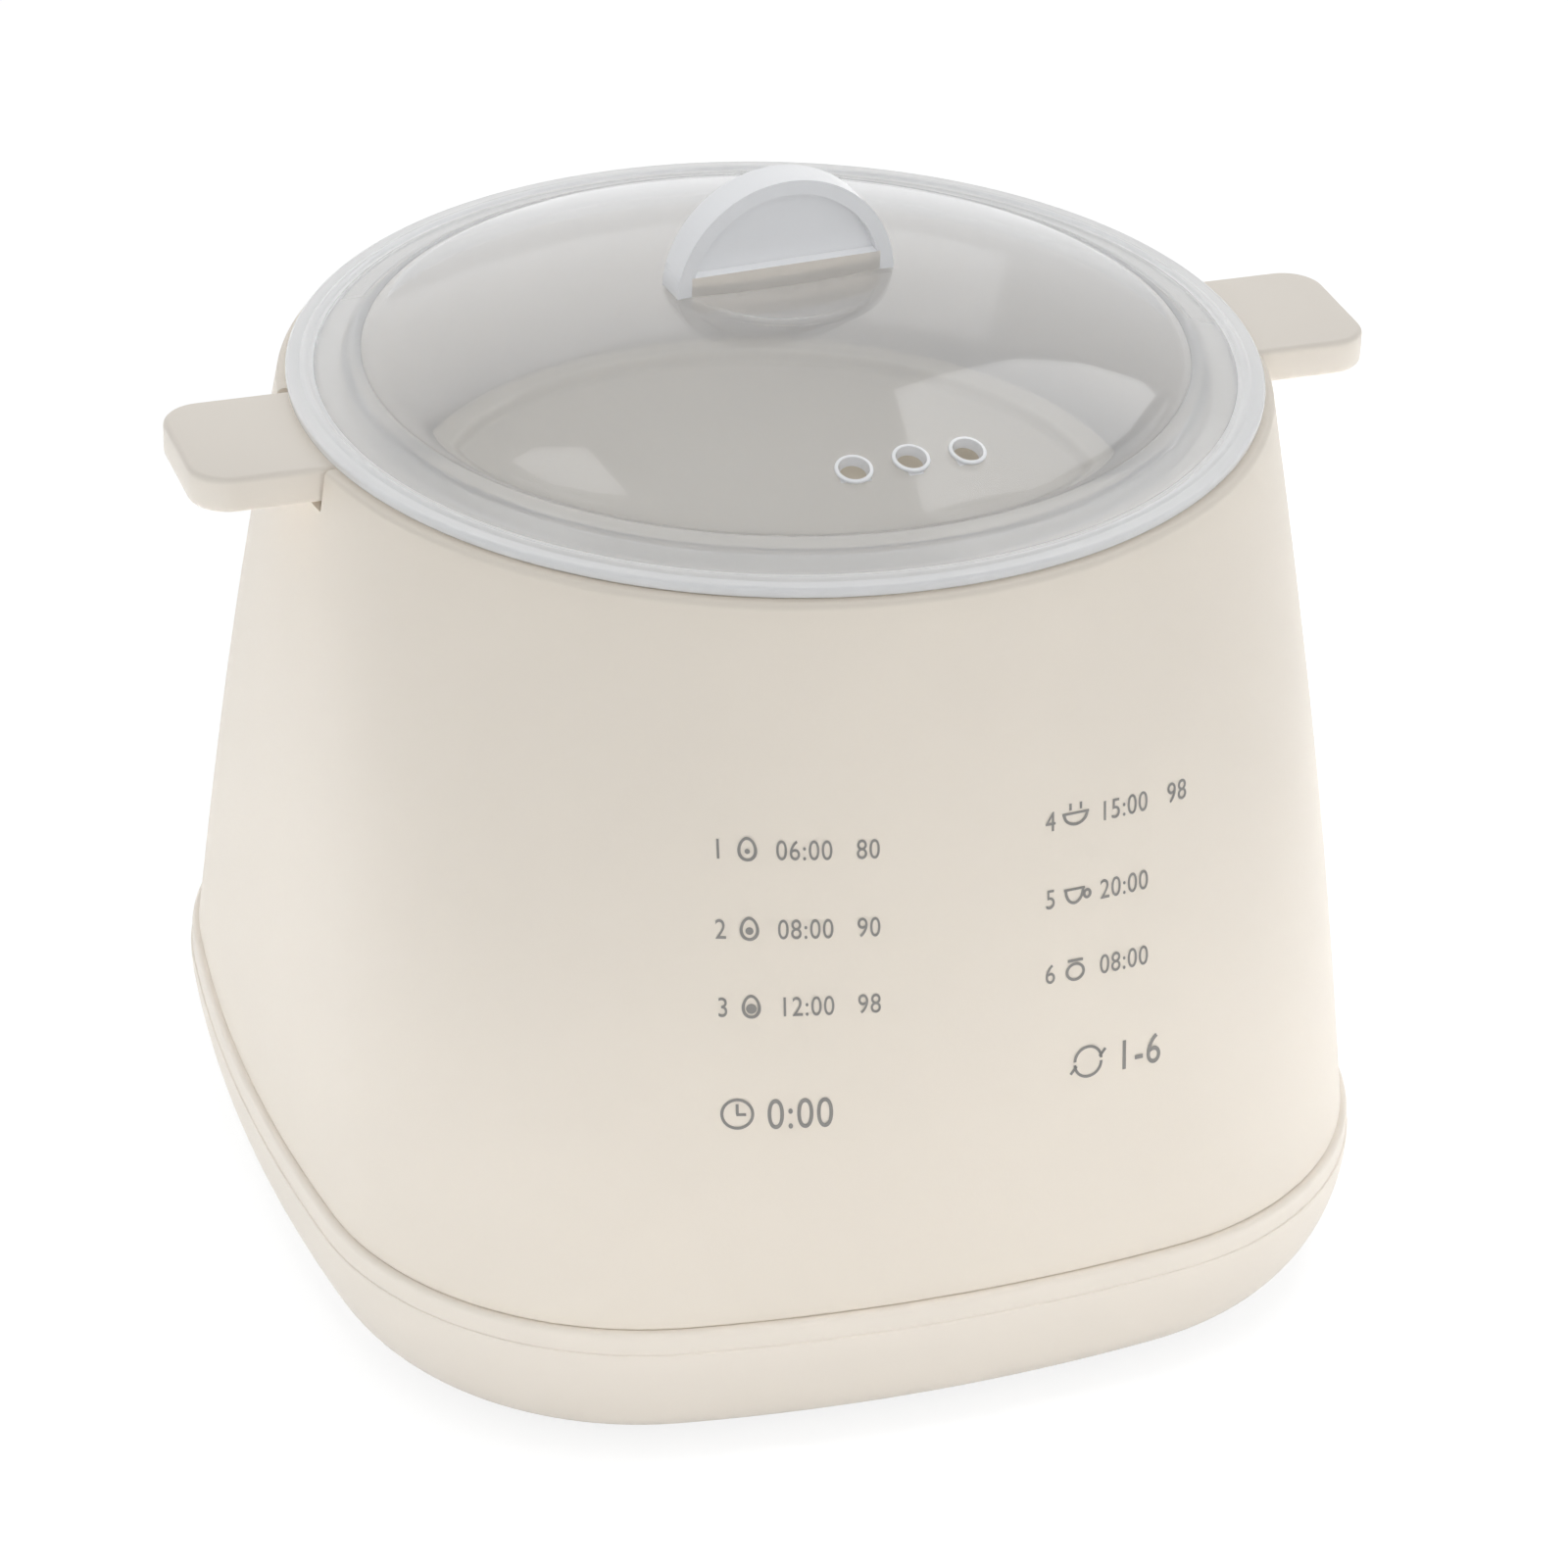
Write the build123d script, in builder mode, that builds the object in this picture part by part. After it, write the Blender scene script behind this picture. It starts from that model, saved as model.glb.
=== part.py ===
from build123d import *
import os
from math import atan2, cos, degrees, radians, sin, sqrt

os.makedirs("parts", exist_ok=True)

# Egg cooker, millimetres. +Z up, origin under the middle of the feet, front towards -Y,
# basket ears along X.

# ---- heights of the housing
foot_drop = 2.0            # rubber feet below the underside
base_height = 24.2         # underside to seam
shell_height = 117.1       # seam to rim
seam_z = foot_drop + base_height
rim_z = seam_z + shell_height

# ---- plan of the housing: a round rim that becomes a rounded square at the seam
rim_radius = 79.3
seam_half_width = 88.95    # X
seam_half_depth = 93.3     # Y
corner_radius = 53.2
side_bow = 2.5             # how far the middle of a side stands out past its corners
rim_squareness = 0.02      # 0 is a circle, 1 is the seam's rounded square
wall = 2.6
rim_edge = 0.9

# ---- base housing
base_proud = 1.1           # base stands out past the shell at the seam
band_height = 3.8          # plain band under the seam
crease_step = 0.3
flank_inset = 14.0         # the flank below the band is a quarter ellipse, this much deep
flank_end = 78.0           # angle on it where the flat underside starts
base_wall = 2.6
lip_height = 4.0
lip_wall = 2.0
fit_gap = 0.3              # between parts that slide together or lift apart

# ---- rim stack: ledge, seal, pan flange, basket rim, lid
basket_rim_thickness = 3.0
pot_flange_thickness = 1.2
seal_thickness = 2.0
ledge_thickness = 2.6
ledge_clear = 0.7          # ledge's bore round the pan
pot_flange_z = rim_z - basket_rim_thickness - fit_gap
seal_top_z = pot_flange_z - pot_flange_thickness
ledge_z = seal_top_z - seal_thickness

# ---- water pan
pot_wall = 1.0
pot_floor_thickness = 1.5
pot_floor_z = 40.0         # wet side of the floor
pot_corner = 8.0
pot_flange_width = 2.7
rim_clear = 1.1            # pan's flange and basket's rim inside the shell's wall
pot_flange_radius = rim_radius - wall - rim_clear
pot_outer_radius = pot_flange_radius - pot_flange_width
pot_inner_radius = pot_outer_radius - pot_wall
pot_under_z = pot_floor_z - pot_floor_thickness
ledge_bore = pot_outer_radius + ledge_clear

# ---- steam basket
basket_wall = 2.0
basket_clear = 0.7         # basket's wall inside the pan
basket_inner_radius = pot_inner_radius - basket_clear - basket_wall
basket_draft = 1.7         # the wall draws in by this much at the floor
basket_floor_z = 72.0      # upper face of the perforated floor
basket_floor_thickness = 2.2
ear_width = 28.0
ear_reach = 98.0
ear_thickness = 6.0
ear_corner = 6.5
ear_edge = 1.0
ear_gap_side = 0.8
ear_gap_under = 1.2
slot_width = 4.0

# ---- custard bowl, stored mouth down in the basket
bowl_height = 48.6
bowl_clear = 2.5           # mouth inside the basket's wall
bowl_mouth_radius = basket_inner_radius - basket_draft - bowl_clear
bowl_ring_inset = 6.5      # ring in from the mouth
bowl_ring_radius = bowl_mouth_radius - bowl_ring_inset
bowl_ring_width = 4.0
bowl_ring_height = 2.6
bowl_wall = 2.6

# ---- lid
lid_wall = 1.8
lid_inset = 1.3            # lid's edge in from the rim
flange_width = 7.2
dome_slope = 4.8           # width of the slope between flange and dome
bead_inset = 3.0           # raised bead on the flange, in from the lid's edge
bead_width = 1.6
bead_height = 0.4
lid_radius = rim_radius - lid_inset
flange_inner_radius = lid_radius - flange_width
dome_radius = flange_inner_radius - dome_slope
dome_step = 3.0
dome_rise = 14.5
skirt_gap = 0.6
skirt_depth = 4.0
well_radius = 18.6         # finger well in the crown, with the grip across it
well_depth = 3.6
grip_rise = 18.3           # grip above the crown of the dome
grip_thickness = 6.4
grip_panel = 2.2
grip_rim = 2.4
vent_count = 3
vent_pitch = 9.4
vent_place = 53.0
vent_bore = 3.7
vent_collar = 6.0
vent_lift = 1.0
lid_turn = 4.0             # the lid lies turned by this angle on the rim

# ---- heating
plate_radius = 56.0
plate_thickness = 4.0
element_ring = 42.0
element_tube = 6.6
element_gap = 36.0         # angle left open at the back between the two ends
element_hang = 8.5         # how far the cold ends pass the shield
pin_length = 5.0           # bare pin at the end of each
shield_overhang = 3.0
shield_sheet = 0.8
shield_lip = 6.0
shield_drop = 9.0          # plate underside to shield
shield_bolt_ring = 51.5
bolt_boss_radius = 3.5
sensor_radius = 7.4
sensor_sink = 4.0          # sensor below the plate
sensor_tab = 34.0
sensor_screw_x = 13.0
clip_sheet = 0.8
clip_foot = 8.0
clip_width = 6.0
tab_sheet = 1.6
fuse_radius = 2.0
fuse_length = 12.0
fuse_lead_radius = 0.5
fuse_y = -28.0

# ---- fasteners
screw_hole = 3.0
screw_head = 6.4
screw_head_height = 2.0
boss_inset = 32.0          # boss centres in from the seam outline's sides
boss_radius = 4.8
boss_height = 28.0
web_thickness = 2.0
screw_length = 24.0
screw_seat = 13.0          # head seat below the top of the base's towers
foot_radius = 8.0
foot_recess = 1.2
board_screw_head = 4.8
board_screw_head_height = 1.7
board_screw_bore = 2.4
board_screw_clear = 0.2

# ---- electronics
board_thickness = 1.6
board_width = 76.0
board_depth = 54.0
board_y = 8.0
board_margin = 5.0         # screws in from the board's edges
standoff = 4.0
post_radius = 3.2
transformer_x = -20.0
transformer_width = 22.0
transformer_depth = 18.0
relay_x = 18.0
relay_width = 19.0
relay_depth = 15.5
component_y = 16.0
component_height = 12.0
capacitor_y = -3.0
large_capacitor_x = -24.0
large_capacitor_radius = 5.0
small_capacitor_x = -11.0
small_capacitor_radius = 4.0
small_capacitor_height = 10.0
control_width = 68.0
control_height = 50.0
control_z = 82.0
control_gap = 5.0          # board to the inside of the front wall
post_hole = 2.2
post_low_x = 13.0          # the lower posts stand between the touch pads
key_x = 28.0
key_z = 64.0
key_pad_radius = 5.0
display_width = 30.0
display_height = 14.0
display_up = 8.0
buzzer_x = -26.0
buzzer_radius = 6.0
buzzer_height = 5.0
terminal_reach = 11.4      # from the terminal block to the back of the inlet
terminal_width = 26.0
terminal_depth = 12.0
terminal_height = 12.0
terminal_pitch = 8.0
terminal_slot_width = 5.0
terminal_slot_depth = 8.0
lead_radius = 1.2
lead_bend = 2.4
ribbon_width = 16.0
ribbon_sheet = 0.8
ribbon_plug = 4.0          # height of the plug at each end
ribbon_inset = 6.0         # plugs in from the boards' edges

# ---- mains inlet at the back
inlet_z = 37.5
inlet_width = 23.0
inlet_height = 13.0
inlet_corner = 3.0
inlet_sink = 1.0           # face in from the wall
inlet_depth = 17.5
inlet_wall = 2.0
inlet_back = 3.5
pad_width = 36.0
pad_height = 18.0
pad_stand = 2.8            # pad's face in from the wall's inside
inlet_flange = 2.0
pin_pitch = 8.6
pin_radius = 1.2
pin_clear = 0.1
pin_tail = 3.0             # pins pass the back of the inlet, where the leads meet them
pin_sink = 4.0             # pins' tips in from the face
inlet_screw_x = 14.6
inlet_screw_length = 5.0


def outline(z, half_width, half_depth, squareness, inset):
    """Closed face of eight tangent arcs: four bowed sides joined by four corners."""
    corner = half_width + squareness * (corner_radius - half_width) - inset
    corner_x = squareness * (half_width - corner_radius - side_bow)
    corner_y = squareness * (half_depth - corner_radius - side_bow)
    reach_x = half_width - inset - corner_x
    reach_y = half_depth - inset - corner_y
    side_x = (reach_x**2 + corner_y**2 - corner**2) / (2 * (reach_x - corner))
    side_y = (reach_y**2 + corner_x**2 - corner**2) / (2 * (reach_y - corner))
    turn_x = degrees(atan2(corner_y, corner_x - half_width + inset + side_x))
    turn_y = degrees(atan2(corner_x, corner_y - half_depth + inset + side_y))
    with BuildSketch(Plane.XY.offset(z)) as face:
        with BuildLine():
            for way in (1, -1):
                start = 0 if way == 1 else 180
                CenterArc((way * (half_width - inset - side_x), 0), side_x,
                          start - turn_x, 2 * turn_x)
                CenterArc((way * corner_x, way * corner_y), corner,
                          start + turn_x, 90 - turn_x - turn_y)
                CenterArc((0, way * (half_depth - inset - side_y)), side_y,
                          start + 90 - turn_y, 2 * turn_y)
                CenterArc((-way * corner_x, way * corner_y), corner,
                          start + 90 + turn_y, 90 - turn_x - turn_y)
        make_face()
    return face.sketch


def shell_half_width(z):
    return rim_radius + (seam_half_width - rim_radius) * (rim_z - z) / shell_height


def shell_half_depth(z):
    return rim_radius + (seam_half_depth - rim_radius) * (rim_z - z) / shell_height


def shell_section(share, inset, lift=0):
    """Section of the shell at a share of the way from rim to seam, raised by lift."""
    z = rim_z - share * shell_height
    squareness = rim_squareness + (1 - rim_squareness) * (1 - (1 - share) ** 3)
    return outline(z + lift, shell_half_width(z), shell_half_depth(z), squareness, inset)


def rim_section(angle):
    """Section of the rim's rounded edge, angle degrees up its quarter circle."""
    swing = radians(angle)
    return shell_section(rim_edge / shell_height, rim_edge * (1 - cos(swing)), rim_edge * sin(swing))


def seam_section(z, inset):
    return outline(z, seam_half_width, seam_half_depth, 1, inset)


flank_height = (base_height - band_height) / sin(radians(flank_end))


def flank_lean(angle):
    """How far the flank's inward normal leans up, in radians."""
    swing = radians(angle)
    return atan2(flank_inset * sin(swing), flank_height * cos(swing))


def flank_section(angle, thickness):
    """Section of the base's curved flank, moved inwards along the flank's normal."""
    swing = radians(angle)
    inset = -base_proud - crease_step + flank_inset * (1 - cos(swing))
    z = seam_z - band_height - flank_height * sin(swing)
    lean = flank_lean(angle)
    return seam_section(z + thickness * sin(lean), inset + thickness * cos(lean))


shell_shares = (0, 0.12, 0.3, 0.55, 0.8, 1)
rim_angles = (0, 30, 60, 90)
flank_angles = (0, 20, 38, 54, 67, flank_end)
boss_x = seam_half_width - boss_inset
boss_y = seam_half_depth - boss_inset
boss_z = seam_z + lip_height
corner_places = [(x, y) for y in (-boss_y, boss_y) for x in (-boss_x, boss_x)]
floor_z = foot_drop + base_wall * sin(flank_lean(flank_end))
board_top_z = floor_z + standoff + board_thickness
plate_under_z = pot_under_z - plate_thickness
shield_top_z = plate_under_z - shield_drop
shield_radius = plate_radius + shield_overhang
element_end_z = shield_top_z - element_hang
board_screw_grid = (board_width - 2 * board_margin, board_depth - 2 * board_margin)
draft = atan2(seam_half_depth - rim_radius, shell_height)
pad_y = shell_half_depth(inlet_z + pad_height / 2) - wall - pad_stand
inlet_face_y = shell_half_depth(inlet_z) - inlet_sink
inlet_back_y = inlet_face_y - inlet_depth
terminal_y = inlet_back_y - terminal_reach - terminal_depth / 2

# Working plane of the control board: parallel to the front wall, local Y up the wall.
control_plane = Plane(
    origin=(0, -(shell_half_depth(control_z) - wall - control_gap), control_z),
    x_dir=(-1, 0, 0),
    z_dir=(0, cos(draft), -sin(draft)),
)
control_posts = [
    (way * x, y)
    for x, y in ((post_low_x, 4 - control_height / 2), (control_width / 2 - 5, control_height / 2 - 4))
    for way in (-1, 1)
]


def inlet_plane(y):
    """Upright plane across the mains inlet, local Y up; it faces the front."""
    return Plane((0, y, inlet_z), x_dir=(1, 0, 0), z_dir=(0, -1, 0))


# ---------------------------------------------------------------- outer shell
# What stands on the inside of the wall, trimmed to the middle of the wall.
with BuildPart() as shell_inside:
    # ledge that carries the water pan
    with BuildSketch(Plane.XY.offset(ledge_z - ledge_thickness)):
        Circle(rim_radius + 6)
        Circle(ledge_bore, mode=Mode.SUBTRACT)
    extrude(amount=ledge_thickness)
    # screw bosses in the four corners, each tied to the wall by a web
    for x, y in corner_places:
        with BuildSketch(Plane((x, y, boss_z), x_dir=(x, y, 0))):
            Circle(boss_radius)
            Rectangle(boss_inset, web_thickness, align=(Align.MIN, Align.CENTER))
        extrude(amount=boss_height)
    with Locations(*[(x, y, boss_z) for x, y in corner_places]):
        Cylinder(screw_hole / 2, screw_length - screw_seat + 1,
                 align=(Align.CENTER, Align.CENTER, Align.MIN), mode=Mode.SUBTRACT)
    # posts for the control board
    with BuildSketch(control_plane):
        with Locations(*control_posts):
            Circle(post_radius)
    extrude(amount=-control_gap - wall)
    # flat pad round the mains inlet
    with BuildSketch(inlet_plane(pad_y)):
        Rectangle(pad_width, pad_height)
    extrude(amount=-10)
    loft([shell_section(share, wall / 2) for share in shell_shares], mode=Mode.INTERSECT)

with BuildPart() as outer_shell:
    loft([shell_section(share, 0) for share in (rim_edge / shell_height, *shell_shares[1:])])
    loft([rim_section(angle) for angle in rim_angles])
    loft([shell_section(share, wall) for share in shell_shares], mode=Mode.SUBTRACT)
    add(shell_inside.part)
    # pilot holes in the control board's posts
    with BuildSketch(control_plane):
        with Locations(*control_posts):
            Circle(board_screw_bore / 2)
    extrude(amount=-post_hole, mode=Mode.SUBTRACT)
    # mains inlet: opening, and two screw holes in its pad
    with BuildSketch(inlet_plane(pad_y - 1)):
        RectangleRounded(inlet_width + 2 * fit_gap, inlet_height + 2 * fit_gap, inlet_corner)
    extrude(amount=-20, mode=Mode.SUBTRACT)
    with BuildSketch(inlet_plane(pad_y)):
        with Locations((-inlet_screw_x, 0), (inlet_screw_x, 0)):
            Circle(board_screw_bore / 2)
    extrude(amount=-4, mode=Mode.SUBTRACT)
    # notches for the basket's ears
    for way in (-1, 1):
        with BuildSketch(Plane.XY.offset(rim_z - ear_thickness - ear_gap_under)):
            with Locations((way * (rim_radius + 1), 0)):
                Rectangle(10, ear_width + 2 * ear_gap_side)
        extrude(amount=ear_thickness + 5, mode=Mode.SUBTRACT)
outer_shell.part.label = "outer_shell"
export_step(outer_shell.part, "parts/outer_shell.step")


def lip_section(z, inset):
    """Section of the shell at the lip's top, where the tapering wall leaves least room."""
    return outline(z, shell_half_width(boss_z), shell_half_depth(boss_z), 1, inset)


# ---------------------------------------------------------------- base housing
lip_outside = wall + fit_gap
lip_inside = lip_outside + lip_wall

with BuildPart() as base_shell:
    loft([flank_section(angle, 0) for angle in flank_angles])
    extrude(seam_section(seam_z - band_height, -base_proud), band_height)
    top_loop = base_shell.edges().filter_by(lambda e: abs(e.center().Z - seam_z) < 0.01)
    fillet(top_loop, base_proud - 0.2)
    extrude(lip_section(seam_z, lip_outside), lip_height)
    loft([flank_section(angle, base_wall) for angle in flank_angles], mode=Mode.SUBTRACT)
    extrude(lip_section(seam_z - band_height - 1, lip_inside),
            band_height + lip_height + 2, mode=Mode.SUBTRACT)
    # towers that meet the shell's bosses
    with BuildSketch(Plane.XY.offset(floor_z - 1)):
        with Locations(*corner_places):
            Circle(boss_radius)
    extrude(amount=boss_z - floor_z + 1)
    # standoffs for the power board
    with BuildSketch(Plane.XY.offset(floor_z - 1)):
        with Locations((0, board_y)):
            with GridLocations(*board_screw_grid, 2, 2):
                Circle(post_radius)
    extrude(amount=standoff + 1)
    with BuildSketch(Plane.XY.offset(floor_z)):
        with Locations((0, board_y)):
            with GridLocations(*board_screw_grid, 2, 2):
                Circle(board_screw_bore / 2)
    extrude(amount=standoff, mode=Mode.SUBTRACT)
    # under each tower: a recess for the foot, the head's way in and the screw's hole
    with BuildSketch(Plane.XY.offset(foot_drop)):
        with Locations(*corner_places):
            Circle(foot_radius + fit_gap)
    extrude(amount=foot_recess, mode=Mode.SUBTRACT)
    with BuildSketch(Plane.XY.offset(foot_drop)):
        with Locations(*corner_places):
            Circle(screw_head / 2 + fit_gap)
    extrude(amount=boss_z - screw_seat - foot_drop, mode=Mode.SUBTRACT)
    with BuildSketch(Plane.XY.offset(foot_drop)):
        with Locations(*corner_places):
            Circle(screw_hole / 2 + fit_gap)
    extrude(amount=boss_z, mode=Mode.SUBTRACT)
    # air slots in the floor
    with BuildSketch(Plane.XY.offset(foot_drop - 1)):
        with Locations((0, -44)):
            with GridLocations(9, 1, 5, 1):
                SlotOverall(26, 3, rotation=90)
    extrude(amount=base_wall + 2, mode=Mode.SUBTRACT)
    # the lip makes room for the inlet's pad
    with Locations((0, seam_half_depth, seam_z)):
        Box(pad_width + 2, 30, 2 * lip_height, align=(Align.CENTER, Align.CENTER, Align.MIN),
            mode=Mode.SUBTRACT)
base_shell.part.label = "base_shell"
export_step(base_shell.part, "parts/base_shell.step")

# ---------------------------------------------------------------- feet and base screws
foot_names = ("foot_front_left", "foot_front_right", "foot_rear_left", "foot_rear_right")
for foot_name, (x, y) in zip(foot_names, corner_places):
    with BuildPart() as foot:
        with BuildSketch(Plane((x, y, 0))):
            Circle(foot_radius)
        extrude(amount=foot_drop + foot_recess)
        fillet(foot.edges().group_by(Axis.Z)[0], 0.8)
    foot.part.label = foot_name
    export_step(foot.part, f"parts/{foot_name}.step")

with BuildPart() as base_screws:
    with BuildSketch(Plane.XY.offset(boss_z - screw_seat - screw_head_height)):
        with Locations(*corner_places):
            Circle(screw_head / 2)
    extrude(amount=screw_head_height)
    with BuildSketch(Plane.XY.offset(boss_z - screw_seat)):
        with Locations(*corner_places):
            Circle(screw_hole / 2)
    extrude(amount=screw_length)
base_screws.part.label = "base_screws"
export_step(base_screws.part, "parts/base_screws.step")

# ---------------------------------------------------------------- water pan and its seal
with BuildPart() as pot:
    with BuildSketch(Plane.XZ) as pot_profile:
        with BuildLine():
            Polyline(
                (0, pot_under_z),
                (pot_outer_radius, pot_under_z),
                (pot_outer_radius, seal_top_z),
                (pot_flange_radius, seal_top_z),
                (pot_flange_radius, pot_flange_z),
                (pot_inner_radius, pot_flange_z),
                (pot_inner_radius, pot_floor_z),
                (0, pot_floor_z),
                close=True,
            )
        make_face()
        low = pot_profile.vertices().group_by(Axis.Y)
        fillet(low[0].sort_by(Axis.X)[-1:], pot_corner)
        fillet(low[1].sort_by(Axis.X)[-1:], pot_corner - pot_wall)
    revolve(axis=Axis.Z)
pot.part.label = "pot"
export_step(pot.part, "parts/pot.step")

with BuildPart() as pot_seal:
    with BuildSketch(Plane.XY.offset(ledge_z)):
        Circle(pot_flange_radius)
        Circle(pot_outer_radius + fit_gap, mode=Mode.SUBTRACT)
    extrude(amount=seal_thickness)
pot_seal.part.label = "pot_seal"
export_step(pot_seal.part, "parts/pot_seal.step")

# ---------------------------------------------------------------- steam basket with two ears
basket_under_z = basket_floor_z - basket_floor_thickness
basket_low_radius = basket_inner_radius - basket_draft

with BuildPart() as steam_basket:
    with BuildSketch(Plane.XZ) as basket_profile:
        with BuildLine():
            Polyline(
                (0, basket_under_z),
                (basket_low_radius + basket_wall, basket_under_z),
                (basket_inner_radius + basket_wall, rim_z - basket_rim_thickness),
                (pot_flange_radius, rim_z - basket_rim_thickness),
                (pot_flange_radius, rim_z),
                (basket_inner_radius, rim_z),
                (basket_low_radius, basket_floor_z),
                (0, basket_floor_z),
                close=True,
            )
        make_face()
        low = basket_profile.vertices().group_by(Axis.Y)
        fillet(low[0].sort_by(Axis.X)[-1:], 6)
        fillet(low[1].sort_by(Axis.X)[-1:], 4)
    revolve(axis=Axis.Z)
    # ears: thick tabs outside the pan's flange, joined to the rim by its own thickness
    for way in (-1, 1):
        with BuildSketch(Plane.XY.offset(rim_z - basket_rim_thickness)):
            with Locations((way * pot_flange_radius, 0)):
                Rectangle(8, ear_width - 2 * ear_edge)
        extrude(amount=basket_rim_thickness)
        with BuildSketch(Plane.XY.offset(rim_z - ear_thickness)) as ear:
            with Locations((way * (ear_reach - 20), 0)):
                Rectangle(40, ear_width)
            fillet(ear.vertices().filter_by(lambda v: abs(v.X) > ear_reach - 1), ear_corner)
            Circle(pot_flange_radius + 1, mode=Mode.SUBTRACT)
        extrude(amount=ear_thickness)
    ear_edges = steam_basket.edges().filter_by(
        lambda e: abs(e.center().X) > pot_flange_radius + 3
        and (abs(e.center().Z - rim_z) < 0.01 or abs(e.center().Z - rim_z + ear_thickness) < 0.01)
    )
    fillet(ear_edges, ear_edge)
    # steam slots in the floor
    for ring, count, length in ((20, 6, 16), (42, 12, 20)):
        with BuildSketch(Plane.XY.offset(basket_under_z - 1)):
            with PolarLocations(ring, count):
                SlotOverall(length, slot_width)
        extrude(amount=basket_floor_thickness + 2, mode=Mode.SUBTRACT)
steam_basket.part.label = "steam_basket"
export_step(steam_basket.part, "parts/steam_basket.step")

# ---------------------------------------------------------------- custard bowl, mouth down
bowl_z = basket_floor_z + fit_gap
bowl_foot_z = bowl_z + bowl_height
bowl_base_z = bowl_foot_z - bowl_ring_height
bowl_shoulder = bowl_ring_radius + 1.8

with BuildPart() as custard_bowl:
    with BuildSketch(Plane.XZ) as bowl_profile:
        with BuildLine():
            Polyline(
                (0, bowl_base_z - bowl_wall),
                (bowl_shoulder - bowl_wall, bowl_base_z - bowl_wall),
                (bowl_mouth_radius - bowl_wall, bowl_z),
                (bowl_mouth_radius, bowl_z),
                (bowl_shoulder, bowl_base_z),
                (0, bowl_base_z),
                close=True,
            )
        make_face()
        rounded = bowl_profile.vertices().filter_by(
            lambda v: v.Y > bowl_base_z - bowl_wall - 1 and v.X > 10)
        fillet(rounded.sort_by(Axis.Y)[:1], 4.0)
        fillet(bowl_profile.vertices().sort_by(Axis.Y)[-2:].sort_by(Axis.X)[-1:], 2.4)
        fillet(bowl_profile.vertices().group_by(Axis.Y)[0], 1.0)
    revolve(axis=Axis.Z)
    with BuildSketch(Plane.XY.offset(bowl_base_z)):
        Circle(bowl_ring_radius)
        Circle(bowl_ring_radius - bowl_ring_width, mode=Mode.SUBTRACT)
    extrude(amount=bowl_ring_height)
    fillet(custard_bowl.edges().group_by(Axis.Z)[-1], 1.0)
custard_bowl.part.label = "custard_bowl"
export_step(custard_bowl.part, "parts/custard_bowl.step")

# ---------------------------------------------------------------- lid
lid_under_z = rim_z + fit_gap
lid_z = lid_under_z + lid_wall
crown_z = lid_z + dome_rise
skirt_radius = basket_inner_radius - skirt_gap
dome_sphere = (dome_radius**2 + (dome_rise - dome_step) ** 2) / (2 * (dome_rise - dome_step))


def dome_height(radius, depth):
    """Height of the dome at a radius, a depth under its outer face."""
    return crown_z - dome_sphere + sqrt((dome_sphere - depth) ** 2 - radius**2)


well_sag = dome_height(well_radius, 0) - crown_z + well_depth
well_sphere = (well_radius**2 + well_sag**2) / (2 * well_sag)


def well_height(radius, depth):
    """Height of the finger well at a radius, a depth under its upper face."""
    return crown_z - well_depth + well_sphere - sqrt((well_sphere + depth) ** 2 - radius**2)


def dome_point(radius, depth):
    return (radius, dome_height(radius, depth))


def well_point(radius, depth):
    return (radius, well_height(radius, depth))


turn = radians(lid_turn)
lid_front = Plane((0, 0, 0), x_dir=(cos(turn), sin(turn), 0), z_dir=(sin(turn), -cos(turn), 0))
lid_top = Plane((0, 0, 0), x_dir=(cos(turn), sin(turn), 0), z_dir=(0, 0, 1))
skirt_inner = skirt_radius - lid_wall
bead_radius = lid_radius - bead_inset
dome_inner = dome_radius - lid_wall
well_mouth = well_radius + 0.8
grip_z = crown_z + grip_rise - well_radius

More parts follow.
